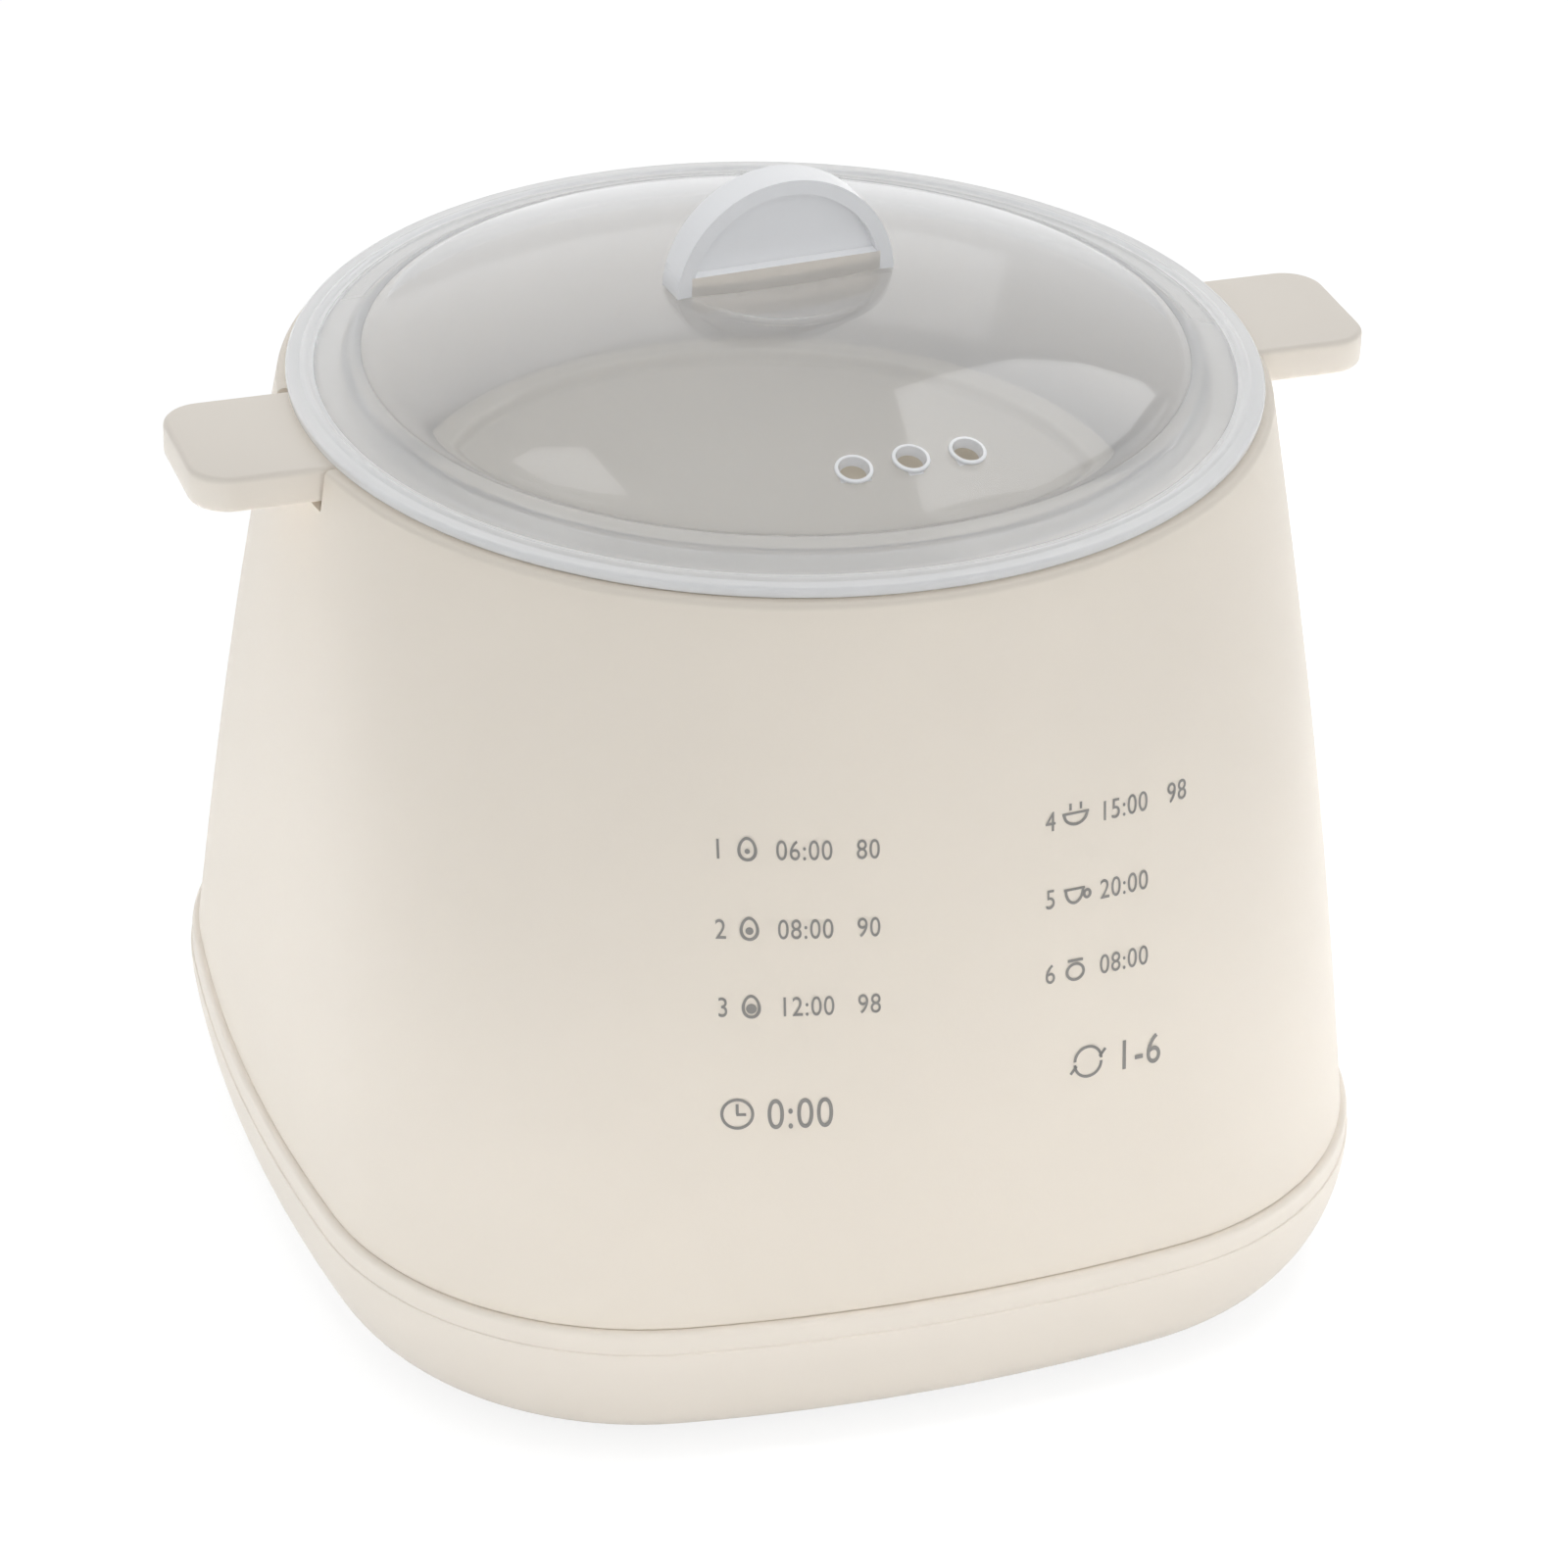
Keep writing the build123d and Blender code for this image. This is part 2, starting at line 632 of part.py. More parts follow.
with BuildPart() as lid:
    with BuildSketch(Plane.XZ) as lid_profile:
        with BuildLine():
            Polyline(well_point(0, lid_wall), well_point(0, 0))
            ThreePointArc(well_point(0, 0), well_point(well_radius / 2, 0),
                          well_point(well_radius, 0))
            Line(well_point(well_radius, 0), dome_point(well_mouth, 0))
            ThreePointArc(dome_point(well_mouth, 0), dome_point(dome_radius / 2, 0),
                          dome_point(dome_radius, 0))
            Polyline(
                dome_point(dome_radius, 0),
                (flange_inner_radius, lid_z),
                (bead_radius - bead_width / 2, lid_z),
            )
            ThreePointArc(
                (bead_radius - bead_width / 2, lid_z),
                (bead_radius, lid_z + bead_height),
                (bead_radius + bead_width / 2, lid_z),
            )
            Polyline(
                (bead_radius + bead_width / 2, lid_z),
                (lid_radius, lid_z),
                (lid_radius, lid_under_z),
                (skirt_radius, lid_under_z),
                (skirt_radius, lid_under_z - skirt_depth),
                (skirt_inner, lid_under_z - skirt_depth),
                (skirt_inner, lid_under_z),
                dome_point(dome_inner, lid_wall),
            )
            ThreePointArc(dome_point(dome_inner, lid_wall), dome_point(dome_radius / 2, lid_wall),
                          dome_point(well_mouth, lid_wall))
            Line(dome_point(well_mouth, lid_wall), well_point(well_radius, lid_wall))
            ThreePointArc(well_point(well_radius, lid_wall), well_point(well_radius / 2, lid_wall),
                          well_point(0, lid_wall))
        make_face()
        edge = lid_profile.vertices().filter_by(lambda v: abs(v.X - lid_radius) < 0.01)
        fillet(edge, 0.6)
    revolve(axis=Axis.Z)
    # steam vents with raised collars
    for index in range(vent_count):
        across = (index - (vent_count - 1) / 2) * vent_pitch
        reach = sqrt(across**2 + vent_place**2)
        with BuildSketch(lid_top.offset(dome_height(reach, lid_wall / 2))):
            with Locations((across, -vent_place)):
                Circle(vent_collar / 2)
        extrude(amount=lid_wall / 2 + vent_lift)
        with BuildSketch(lid_top.offset(lid_z)):
            with Locations((across, -vent_place)):
                Circle(vent_bore / 2)
        extrude(amount=dome_rise, mode=Mode.SUBTRACT)
    # half-disc grip across the finger well, with a rim round a thinner panel
    with BuildSketch(lid_front):
        with BuildLine():
            CenterArc((0, grip_z), well_radius, 0, 180)
            Line((-well_radius, grip_z), (-well_radius, well_height(well_radius, lid_wall / 2)))
            ThreePointArc((-well_radius, well_height(well_radius, lid_wall / 2)),
                          (0, well_height(0, lid_wall / 2)),
                          (well_radius, well_height(well_radius, lid_wall / 2)))
            Line((well_radius, well_height(well_radius, lid_wall / 2)), (well_radius, grip_z))
        make_face()
    extrude(amount=grip_thickness / 2, both=True)
    panel_radius = well_radius - grip_rim
    for way in (-1, 1):
        with BuildSketch(lid_front.offset(way * grip_panel / 2)):
            with BuildLine():
                CenterArc((0, grip_z), panel_radius, 0, 180)
                ThreePointArc((-panel_radius, grip_z), (0, well_height(0, 0) + grip_rim),
                              (panel_radius, grip_z))
            make_face()
        extrude(amount=way * grip_thickness, mode=Mode.SUBTRACT)
lid.part.label = "lid"
export_step(lid.part, "parts/lid.step")

# ---------------------------------------------------------------- heating under the pan
bolt_angles = (30, 150, 270)

with BuildPart() as heat_plate:
    with BuildSketch(Plane.XY.offset(plate_under_z)):
        Circle(plate_radius)
        Circle(sensor_radius + fit_gap, mode=Mode.SUBTRACT)
    extrude(amount=plate_thickness)
    with BuildSketch(Plane.XY.offset(shield_top_z)):
        for angle in bolt_angles:
            with PolarLocations(shield_bolt_ring, 1, start_angle=angle):
                Circle(bolt_boss_radius)
                Circle(board_screw_bore / 2, mode=Mode.SUBTRACT)
    extrude(amount=shield_drop)
heat_plate.part.label = "heat_plate"
export_step(heat_plate.part, "parts/heat_plate.step")

element_z = plate_under_z - element_tube / 2
element_start = 90 + element_gap / 2
element_ends = [
    (element_ring * cos(radians(90 + side * element_gap / 2)),
     element_ring * sin(radians(90 + side * element_gap / 2)))
    for side in (1, -1)
]

with BuildPart() as heating_element:
    with BuildLine(Plane.XY.offset(element_z)) as element_path:
        CenterArc((0, 0), element_ring, element_start, 360 - element_gap)
    with BuildSketch(Plane(element_path.line @ 0, z_dir=element_path.line % 0)):
        Circle(element_tube / 2)
    sweep(path=element_path.line)
    with Locations(*[(x, y, element_z) for x, y in element_ends]):
        Sphere(element_tube / 2)
    with BuildSketch(Plane.XY.offset(element_end_z + pin_length)):
        with Locations(*element_ends):
            Circle(element_tube / 2)
    extrude(amount=element_z - element_end_z - pin_length)
    with BuildSketch(Plane.XY.offset(element_end_z)):
        with Locations(*element_ends):
            Circle(pin_radius)
    extrude(amount=pin_length + 1)
heating_element.part.label = "heating_element"
export_step(heating_element.part, "parts/heating_element.step")

with BuildPart() as heat_shield:
    with BuildSketch(Plane.XY.offset(shield_top_z - shield_sheet)):
        Circle(shield_radius)
        with Locations(*element_ends):
            Circle(element_tube / 2 + 1.5, mode=Mode.SUBTRACT)
        for angle in bolt_angles:
            with PolarLocations(shield_bolt_ring, 1, start_angle=angle):
                Circle(board_screw_bore / 2 + board_screw_clear, mode=Mode.SUBTRACT)
    extrude(amount=shield_sheet)
    with BuildSketch(Plane.XY.offset(shield_top_z - shield_sheet)):
        Circle(shield_radius)
        Circle(shield_radius - shield_sheet, mode=Mode.SUBTRACT)
    extrude(amount=shield_lip)
heat_shield.part.label = "heat_shield"
export_step(heat_shield.part, "parts/heat_shield.step")

with BuildPart() as shield_screws:
    for angle in bolt_angles:
        with BuildSketch(Plane.XY.offset(shield_top_z - shield_sheet - board_screw_head_height)):
            with PolarLocations(shield_bolt_ring, 1, start_angle=angle):
                Circle(board_screw_head / 2)
        extrude(amount=board_screw_head_height)
        with BuildSketch(Plane.XY.offset(shield_top_z - shield_sheet)):
            with PolarLocations(shield_bolt_ring, 1, start_angle=angle):
                Circle(board_screw_bore / 2)
        extrude(amount=shield_drop - 2)
shield_screws.part.label = "shield_screws"
export_step(shield_screws.part, "parts/shield_screws.step")

with BuildPart() as temperature_sensor:
    with BuildSketch(Plane.XY.offset(plate_under_z - tab_sheet)):
        SlotOverall(sensor_tab, 2 * sensor_radius + 3)
        with Locations((-sensor_screw_x, 0), (sensor_screw_x, 0)):
            Circle(board_screw_bore / 2 + board_screw_clear, mode=Mode.SUBTRACT)
    extrude(amount=tab_sheet)
    with BuildSketch(Plane.XY.offset(plate_under_z - sensor_sink)):
        Circle(sensor_radius)
    extrude(amount=sensor_sink + plate_thickness)
temperature_sensor.part.label = "temperature_sensor"
export_step(temperature_sensor.part, "parts/temperature_sensor.step")

fuse_z = plate_under_z - fuse_radius
strap_inner = fuse_radius + 0.1
strap_outer = strap_inner + clip_sheet

with BuildPart() as thermal_fuse:
    with BuildSketch(Plane((-fuse_length / 2, fuse_y, fuse_z), z_dir=(1, 0, 0))):
        Circle(fuse_radius)
    extrude(amount=fuse_length)
    with BuildSketch(Plane((-fuse_length, fuse_y, fuse_z), z_dir=(1, 0, 0))):
        Circle(fuse_lead_radius)
    extrude(amount=2 * fuse_length)
thermal_fuse.part.label = "thermal_fuse"
export_step(thermal_fuse.part, "parts/thermal_fuse.step")

with BuildPart() as fuse_clip:
    with BuildSketch(Plane((0, fuse_y, plate_under_z), x_dir=(0, 1, 0), z_dir=(1, 0, 0))):
        with BuildLine():
            Polyline((-clip_foot, 0), (-clip_foot, -clip_sheet), (-strap_outer, -clip_sheet),
                     (-strap_outer, -fuse_radius - strap_outer),
                     (strap_outer, -fuse_radius - strap_outer),
                     (strap_outer, -clip_sheet), (clip_foot, -clip_sheet), (clip_foot, 0),
                     (strap_inner, 0), (strap_inner, -fuse_radius - strap_inner),
                     (-strap_inner, -fuse_radius - strap_inner), (-strap_inner, 0),
                     close=True)
        make_face()
    extrude(amount=clip_width / 2, both=True)
fuse_clip.part.label = "fuse_clip"
export_step(fuse_clip.part, "parts/fuse_clip.step")

# ---------------------------------------------------------------- power board and what is on it
with BuildPart() as power_board:
    with BuildSketch(Plane.XY.offset(floor_z + standoff)):
        with Locations((0, board_y)):
            Rectangle(board_width, board_depth)
            with GridLocations(*board_screw_grid, 2, 2):
                Circle(board_screw_bore / 2 + board_screw_clear, mode=Mode.SUBTRACT)
    extrude(amount=board_thickness)
power_board.part.label = "power_board"
export_step(power_board.part, "parts/power_board.step")

with BuildPart() as board_screws:
    with BuildSketch(Plane.XY.offset(board_top_z)):
        with Locations((0, board_y)):
            with GridLocations(*board_screw_grid, 2, 2):
                Circle(board_screw_head / 2)
    extrude(amount=board_screw_head_height)
    with BuildSketch(Plane.XY.offset(floor_z + 1)):
        with Locations((0, board_y)):
            with GridLocations(*board_screw_grid, 2, 2):
                Circle(board_screw_bore / 2)
    extrude(amount=board_top_z - floor_z - 1)
board_screws.part.label = "board_screws"
export_step(board_screws.part, "parts/board_screws.step")

with BuildPart() as transformer:
    with BuildSketch(Plane.XY.offset(board_top_z)):
        with Locations((transformer_x, component_y)):
            Rectangle(transformer_width, transformer_depth)
    extrude(amount=3)
    with BuildSketch(Plane.XY.offset(board_top_z + 3)):
        with Locations((transformer_x, component_y)):
            RectangleRounded(transformer_width - 6, transformer_depth - 1, 2)
    extrude(amount=component_height - 3)
    with BuildSketch(Plane.XY.offset(board_top_z + 5)):
        with Locations((transformer_x, component_y)):
            Rectangle(transformer_width, transformer_depth - 11)
    extrude(amount=component_height - 5)
transformer.part.label = "transformer"
export_step(transformer.part, "parts/transformer.step")

with BuildPart() as relay:
    with BuildSketch(Plane.XY.offset(board_top_z)):
        with Locations((relay_x, component_y)):
            Rectangle(relay_width, relay_depth)
    extrude(amount=component_height)
    fillet(relay.edges().filter_by(Axis.Z), 1)
relay.part.label = "relay"
export_step(relay.part, "parts/relay.step")

with BuildPart() as capacitors:
    for x, radius, height in (
        (large_capacitor_x, large_capacitor_radius, component_height),
        (small_capacitor_x, small_capacitor_radius, small_capacitor_height),
    ):
        with BuildSketch(Plane.XY.offset(board_top_z)):
            with Locations((x, capacitor_y)):
                Circle(radius)
        extrude(amount=height)
capacitors.part.label = "capacitors"
export_step(capacitors.part, "parts/capacitors.step")

with BuildPart() as terminal_block:
    with BuildSketch(Plane.XY.offset(floor_z)):
        with Locations((0, terminal_y)):
            Rectangle(terminal_width, terminal_depth)
    extrude(amount=terminal_height)
    with BuildSketch(Plane.XY.offset(floor_z + terminal_height)):
        with Locations((0, terminal_y)):
            with GridLocations(terminal_pitch, 1, 3, 1):
                Rectangle(terminal_slot_width, terminal_slot_depth)
    extrude(amount=-terminal_height / 4, mode=Mode.SUBTRACT)
terminal_block.part.label = "terminal_block"
export_step(terminal_block.part, "parts/terminal_block.step")

# ---------------------------------------------------------------- control board at the front wall
with BuildPart() as control_board:
    with BuildSketch(control_plane):
        Rectangle(control_width, control_height)
        with Locations(*control_posts):
            Circle(board_screw_bore / 2 + board_screw_clear, mode=Mode.SUBTRACT)
    extrude(amount=board_thickness)
control_board.part.label = "control_board"
export_step(control_board.part, "parts/control_board.step")

with BuildPart() as control_screws:
    with BuildSketch(control_plane.offset(board_thickness)):
        with Locations(*control_posts):
            Circle(board_screw_head / 2)
    extrude(amount=board_screw_head_height)
    with BuildSketch(control_plane.offset(board_thickness)):
        with Locations(*control_posts):
            Circle(board_screw_bore / 2)
    extrude(amount=-board_thickness - post_hole + 0.2)
control_screws.part.label = "control_screws"
export_step(control_screws.part, "parts/control_screws.step")

with BuildPart() as led_display:
    with BuildSketch(control_plane):
        with Locations((0, display_up)):
            Rectangle(display_width, display_height)
    extrude(amount=0.9 - control_gap)
led_display.part.label = "led_display"
export_step(led_display.part, "parts/led_display.step")

with BuildPart() as touch_pads:
    with BuildSketch(control_plane):
        with Locations((-key_x, (key_z - control_z) / cos(draft)),
                       (key_x, (key_z - control_z) / cos(draft))):
            Circle(key_pad_radius)
    extrude(amount=-control_gap / 2)
touch_pads.part.label = "touch_pads"
export_step(touch_pads.part, "parts/touch_pads.step")

with BuildPart() as buzzer:
    with BuildSketch(control_plane.offset(board_thickness)):
        with Locations((buzzer_x, display_up)):
            Circle(buzzer_radius)
    extrude(amount=buzzer_height)
    with BuildSketch(control_plane.offset(board_thickness + buzzer_height)):
        with Locations((buzzer_x, display_up)):
            Circle(buzzer_radius / 5)
    extrude(amount=-buzzer_height / 2, mode=Mode.SUBTRACT)
buzzer.part.label = "buzzer"
export_step(buzzer.part, "parts/buzzer.step")

# ---------------------------------------------------------------- mains inlet at the back
with BuildPart() as inlet_socket:
    with BuildSketch(inlet_plane(pad_y - inlet_flange)):
        Rectangle(pad_width, pad_height)
        with Locations((-inlet_screw_x, 0), (inlet_screw_x, 0)):
            Circle(board_screw_bore / 2 + board_screw_clear, mode=Mode.SUBTRACT)
    extrude(amount=-inlet_flange)
    with BuildSketch(inlet_plane(inlet_back_y)):
        RectangleRounded(inlet_width, inlet_height, inlet_corner)
    extrude(amount=-inlet_depth)
    with BuildSketch(inlet_plane(inlet_back_y + inlet_back)):
        SlotOverall(inlet_width - 2 * inlet_wall, inlet_height - 2 * inlet_wall)
    extrude(amount=-inlet_depth, mode=Mode.SUBTRACT)
    with BuildSketch(inlet_plane(inlet_back_y)):
        with Locations((-pin_pitch / 2, 0), (pin_pitch / 2, 0)):
            Circle(pin_radius + pin_clear)
    extrude(amount=-inlet_depth, mode=Mode.SUBTRACT)
inlet_socket.part.label = "inlet_socket"
export_step(inlet_socket.part, "parts/inlet_socket.step")

with BuildPart() as inlet_pins:
    with BuildSketch(inlet_plane(inlet_back_y - pin_tail)):
        with Locations((-pin_pitch / 2, 0), (pin_pitch / 2, 0)):
            Circle(pin_radius)
    extrude(amount=-(inlet_depth + pin_tail - pin_sink))
inlet_pins.part.label = "inlet_pins"
export_step(inlet_pins.part, "parts/inlet_pins.step")

with BuildPart() as inlet_screws:
    with BuildSketch(inlet_plane(pad_y - inlet_flange)):
        with Locations((-inlet_screw_x, 0), (inlet_screw_x, 0)):
            Circle(board_screw_head / 2)
    extrude(amount=board_screw_head_height)
    with BuildSketch(inlet_plane(pad_y - inlet_flange)):
        with Locations((-inlet_screw_x, 0), (inlet_screw_x, 0)):
            Circle(board_screw_bore / 2)
    extrude(amount=-inlet_screw_length)
inlet_screws.part.label = "inlet_screws"
export_step(inlet_screws.part, "parts/inlet_screws.step")

# ---------------------------------------------------------------- wiring
lead_z = floor_z + terminal_height / 2
lead_out_y = terminal_y + terminal_depth / 2
lead_start_y = inlet_back_y - pin_tail
lead_drop_y = (lead_out_y + lead_start_y) / 2
mains_starts = [(way * pin_pitch / 2, lead_start_y, inlet_z) for way in (-1, 1)]

with BuildPart() as mains_leads:
    for way, start in zip((-1, 1), mains_starts):
        with BuildLine() as lead:
            FilletPolyline(
                start,
                (start[0], lead_drop_y, inlet_z),
                (way * terminal_pitch / 2, lead_drop_y, lead_z),
                (way * terminal_pitch / 2, lead_out_y, lead_z),
                radius=lead_bend,
            )
        with BuildSketch(Plane(lead.line @ 0, z_dir=lead.line % 0)):
            Circle(lead_radius)
        sweep(path=lead.line)
mains_leads.part.label = "mains_leads"
export_step(mains_leads.part, "parts/mains_leads.step")

with BuildPart() as heater_leads:
    for way, end in zip((-1, 1), element_ends):
        with BuildLine() as lead:
            FilletPolyline(
                (end[0], end[1], element_end_z),
                (end[0], end[1], lead_z),
                (way * terminal_pitch, terminal_y - terminal_depth, lead_z),
                (way * terminal_pitch, terminal_y - terminal_depth / 2, lead_z),
                radius=lead_bend / 2,
            )
        with BuildSketch(Plane(lead.line @ 0, z_dir=lead.line % 0)):
            Circle(lead_radius)
        sweep(path=lead.line)
heater_leads.part.label = "heater_leads"
export_step(heater_leads.part, "parts/heater_leads.step")

ribbon_down = ribbon_inset - control_height / 2
ribbon_y = control_plane.origin.Y + ribbon_down * sin(draft) + board_thickness + ribbon_plug / 2
ribbon_z = board_top_z + ribbon_plug / 2
ribbon_end_y = board_y - board_depth / 2 + ribbon_inset

with BuildPart() as ribbon_cable:
    with BuildSketch(control_plane.offset(board_thickness)):
        with Locations((0, ribbon_down)):
            Rectangle(ribbon_width + 2, ribbon_inset)
    extrude(amount=ribbon_plug)
    with BuildSketch(Plane.XY.offset(board_top_z)):
        with Locations((0, ribbon_end_y)):
            Rectangle(ribbon_width + 2, ribbon_inset)
    extrude(amount=ribbon_plug)
    with BuildSketch(Plane.YZ):
        with BuildLine():
            FilletPolyline(
                (ribbon_y, control_z + ribbon_down),
                (ribbon_y, ribbon_z),
                (ribbon_end_y, ribbon_z),
                radius=ribbon_plug,
            )
        trace(line_width=ribbon_sheet)
    extrude(amount=ribbon_width / 2, both=True)
ribbon_cable.part.label = "ribbon_cable"
export_step(ribbon_cable.part, "parts/ribbon_cable.step")
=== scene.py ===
from math import atan2, cos, hypot, pi, radians, sin, sqrt

import bmesh
import bpy
from mathutils import Matrix, Vector


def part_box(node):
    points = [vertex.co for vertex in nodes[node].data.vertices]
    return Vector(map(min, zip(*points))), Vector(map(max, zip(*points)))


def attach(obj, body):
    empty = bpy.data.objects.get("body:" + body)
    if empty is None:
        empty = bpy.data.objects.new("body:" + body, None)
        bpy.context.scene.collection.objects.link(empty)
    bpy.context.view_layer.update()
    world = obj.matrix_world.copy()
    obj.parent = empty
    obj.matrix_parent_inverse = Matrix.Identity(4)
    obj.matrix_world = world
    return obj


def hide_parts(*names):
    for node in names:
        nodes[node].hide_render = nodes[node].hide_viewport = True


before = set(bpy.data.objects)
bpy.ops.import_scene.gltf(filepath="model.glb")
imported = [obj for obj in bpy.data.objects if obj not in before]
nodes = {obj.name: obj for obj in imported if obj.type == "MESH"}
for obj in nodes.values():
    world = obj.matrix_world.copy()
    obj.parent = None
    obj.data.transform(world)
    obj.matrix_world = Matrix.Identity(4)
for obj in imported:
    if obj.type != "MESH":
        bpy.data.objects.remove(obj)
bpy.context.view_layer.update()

mm = 0.001
for node in nodes.values():
    node.select_set(False)


# ways of working: shapes are in millimetres and are brought to metres here
def selectOnly(*objs):
    bpy.ops.object.select_all(action="DESELECT")
    for obj in objs:
        obj.select_set(True)
    bpy.context.view_layer.objects.active = objs[0]


def toEdit(obj):
    selectOnly(obj)
    bpy.ops.object.mode_set(mode="EDIT")


def toObject():
    bpy.ops.object.mode_set(mode="OBJECT")


def named(name):
    obj = bpy.context.object
    obj.name = name
    obj.data.name = name
    return obj


def settle(obj):
    selectOnly(obj)
    bpy.ops.object.transform_apply(location=True, rotation=True, scale=True)


def applyModifiers(obj):
    selectOnly(obj)
    for modifier in list(obj.modifiers):
        bpy.ops.object.modifier_apply(modifier=modifier.name)


def smooth(obj, angle):
    selectOnly(obj)
    bpy.ops.object.shade_smooth_by_angle(angle=radians(angle))


def roundEdges(obj, width, segments, angle=30):
    # bevels the edges whose faces turn by more than the angle
    modifier = obj.modifiers.new("bevel", "BEVEL")
    modifier.width = width * mm
    modifier.segments = segments
    modifier.limit_method = "ANGLE"
    modifier.angle_limit = radians(angle)
    applyModifiers(obj)


def combine(piece, tool, operation):
    # joins or cuts with another closed shape, which is used up
    modifier = piece.modifiers.new("combine", "BOOLEAN")
    modifier.object = tool
    modifier.operation = operation
    modifier.solver = "EXACT"
    applyModifiers(piece)
    bpy.data.objects.remove(tool)


def block(name, centre, size, edge=0.0, segments=0):
    bpy.ops.object.select_all(action="DESELECT")
    place = [value * mm for value in centre]
    bpy.ops.mesh.primitive_cube_add(size=mm, location=place, scale=size)
    obj = named(name)
    settle(obj)
    if edge:
        roundEdges(obj, edge, segments)
    return obj


def rod(name, centre, radius, height, around=64):
    bpy.ops.object.select_all(action="DESELECT")
    bpy.ops.mesh.primitive_cylinder_add(
        vertices=around, radius=radius * mm, depth=height * mm,
        location=[value * mm for value in centre])
    obj = named(name)
    settle(obj)
    return obj


def placeRing(obj, ring):
    # the ring just extruded is selected: each of its points keeps its bearing
    z, reach = ring
    cage = bmesh.from_edit_mesh(obj.data)
    for vert in cage.verts:
        if vert.select:
            bearing = atan2(vert.co.y, vert.co.x)
            radius = (reach(bearing) if callable(reach) else reach) * mm
            vert.co = (radius * cos(bearing), radius * sin(bearing), z * mm)
    bmesh.update_edit_mesh(obj.data)


# a turned piece starts and ends in a small ring that is drawn together into a pole
poleRadius = 0.3
startRadius = 10
weldGap = 0.002


def pullPole(obj, z):
    # draws the small ring at this height together into one point
    near = poleRadius * 1.1
    bpy.ops.mesh.select_all(action="DESELECT")
    cage = bmesh.from_edit_mesh(obj.data)
    for vert in cage.verts:
        if hypot(vert.co.x, vert.co.y) < near * mm and abs(vert.co.z - z * mm) < 0.01 * mm:
            vert.select = True
    cage.select_flush_mode()
    bmesh.update_edit_mesh(obj.data)
    bpy.ops.mesh.merge(type="CENTER")


def ringStack(name, around, rings, poles):
    # extrudes ring after ring; the ends close in poles, or the last ring meets the first
    bpy.ops.object.select_all(action="DESELECT")
    bpy.ops.mesh.primitive_circle_add(vertices=around, radius=startRadius * mm,
                                      fill_type="NOTHING")
    obj = named(name)
    toEdit(obj)
    bpy.ops.mesh.select_mode(type="VERT")
    bpy.ops.mesh.select_all(action="SELECT")
    placeRing(obj, rings[0])
    for ring in rings[1:] + ([] if poles else rings[:1]):
        bpy.ops.mesh.extrude_edges_move()
        placeRing(obj, ring)
    if poles:
        pullPole(obj, rings[0][0])
        pullPole(obj, rings[-1][0])
    bpy.ops.mesh.select_all(action="SELECT")
    bpy.ops.mesh.remove_doubles(threshold=weldGap * mm)
    bpy.ops.mesh.normals_make_consistent(inside=False)
    toObject()
    return obj


def arc(centre, radius, start, end, steps):
    # (z, radius) points of a turned edge: 0 degrees points outwards, 90 up
    points = []
    for step in range(steps + 1):
        turn = radians(start + (end - start) * step / steps)
        points.append((centre[0] + radius * sin(turn), centre[1] + radius * cos(turn)))
    return points


def spaced(first, last, count):
    # evenly spaced values, with both ends
    return [first + (last - first) * step / count for step in range(count + 1)]


# the plan of the body: a round rim that becomes a rounded square at the seam
body = {
    "rimRadius": 79.3, "halfWidth": 88.95, "halfDepth": 93.3, "corner": 53.2, "bow": 2.5,
    "rimSquareness": 0.02, "wall": 2.6, "rimEdge": 0.9, "seamEdge": 0.5, "innerEdge": 0.5,
    "around": 288, "rings": 30,
}
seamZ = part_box("outer_shell")[0].z / mm
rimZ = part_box("outer_shell")[1].z / mm


def outlineReach(bearing, halfWidth, halfDepth, squareness, inset):
    # distance from the axis to the eight-arc outline at a bearing
    corner = halfWidth + squareness * (body["corner"] - halfWidth) - inset
    cornerX = squareness * (halfWidth - body["corner"] - body["bow"])
    cornerY = squareness * (halfDepth - body["corner"] - body["bow"])
    reachX = halfWidth - inset - cornerX
    reachY = halfDepth - inset - cornerY
    sideX = (reachX**2 + cornerY**2 - corner**2) / (2 * (reachX - corner))
    sideY = (reachY**2 + cornerX**2 - corner**2) / (2 * (reachY - corner))
    turnX = atan2(cornerY, cornerX - halfWidth + inset + sideX)
    turnY = atan2(cornerX, cornerY - halfDepth + inset + sideY)
    x, y = abs(cos(bearing)), abs(sin(bearing))
    swing = atan2(y, x)
    joinX = atan2(cornerY + corner * sin(turnX), cornerX + corner * cos(turnX))
    joinY = atan2(cornerY + corner * cos(turnY), cornerX + corner * sin(turnY))
    if swing < joinX:
        centreX, centreY, radius = halfWidth - inset - sideX, 0.0, sideX
    elif swing > joinY:
        centreX, centreY, radius = 0.0, halfDepth - inset - sideY, sideY
    else:
        centreX, centreY, radius = cornerX, cornerY, corner
    along = centreX * x + centreY * y
    return along + sqrt(radius**2 - centreX**2 - centreY**2 + along**2)


def halfSizes(z):
    # how far down from the rim (0) to the seam (1) a height lies, and the plan's half sizes there
    share = min(max((rimZ - z) / (rimZ - seamZ), 0), 1)
    rim = body["rimRadius"]
    return share, rim + (body["halfWidth"] - rim) * share, rim + (body["halfDepth"] - rim) * share


def shellReach(z, inset):
    share, halfWidth, halfDepth = halfSizes(z)
    squareness = 1 - (1 - body["rimSquareness"]) * (1 - share) ** 3
    return lambda bearing: outlineReach(bearing, halfWidth, halfDepth, squareness, inset)


def seamReach(inset):
    return lambda bearing: outlineReach(bearing, body["halfWidth"], body["halfDepth"], 1, inset)


# finishes: noise is spread between these two values, which hold nearly all of it
noiseLow, noiseHigh = 0.3, 0.7


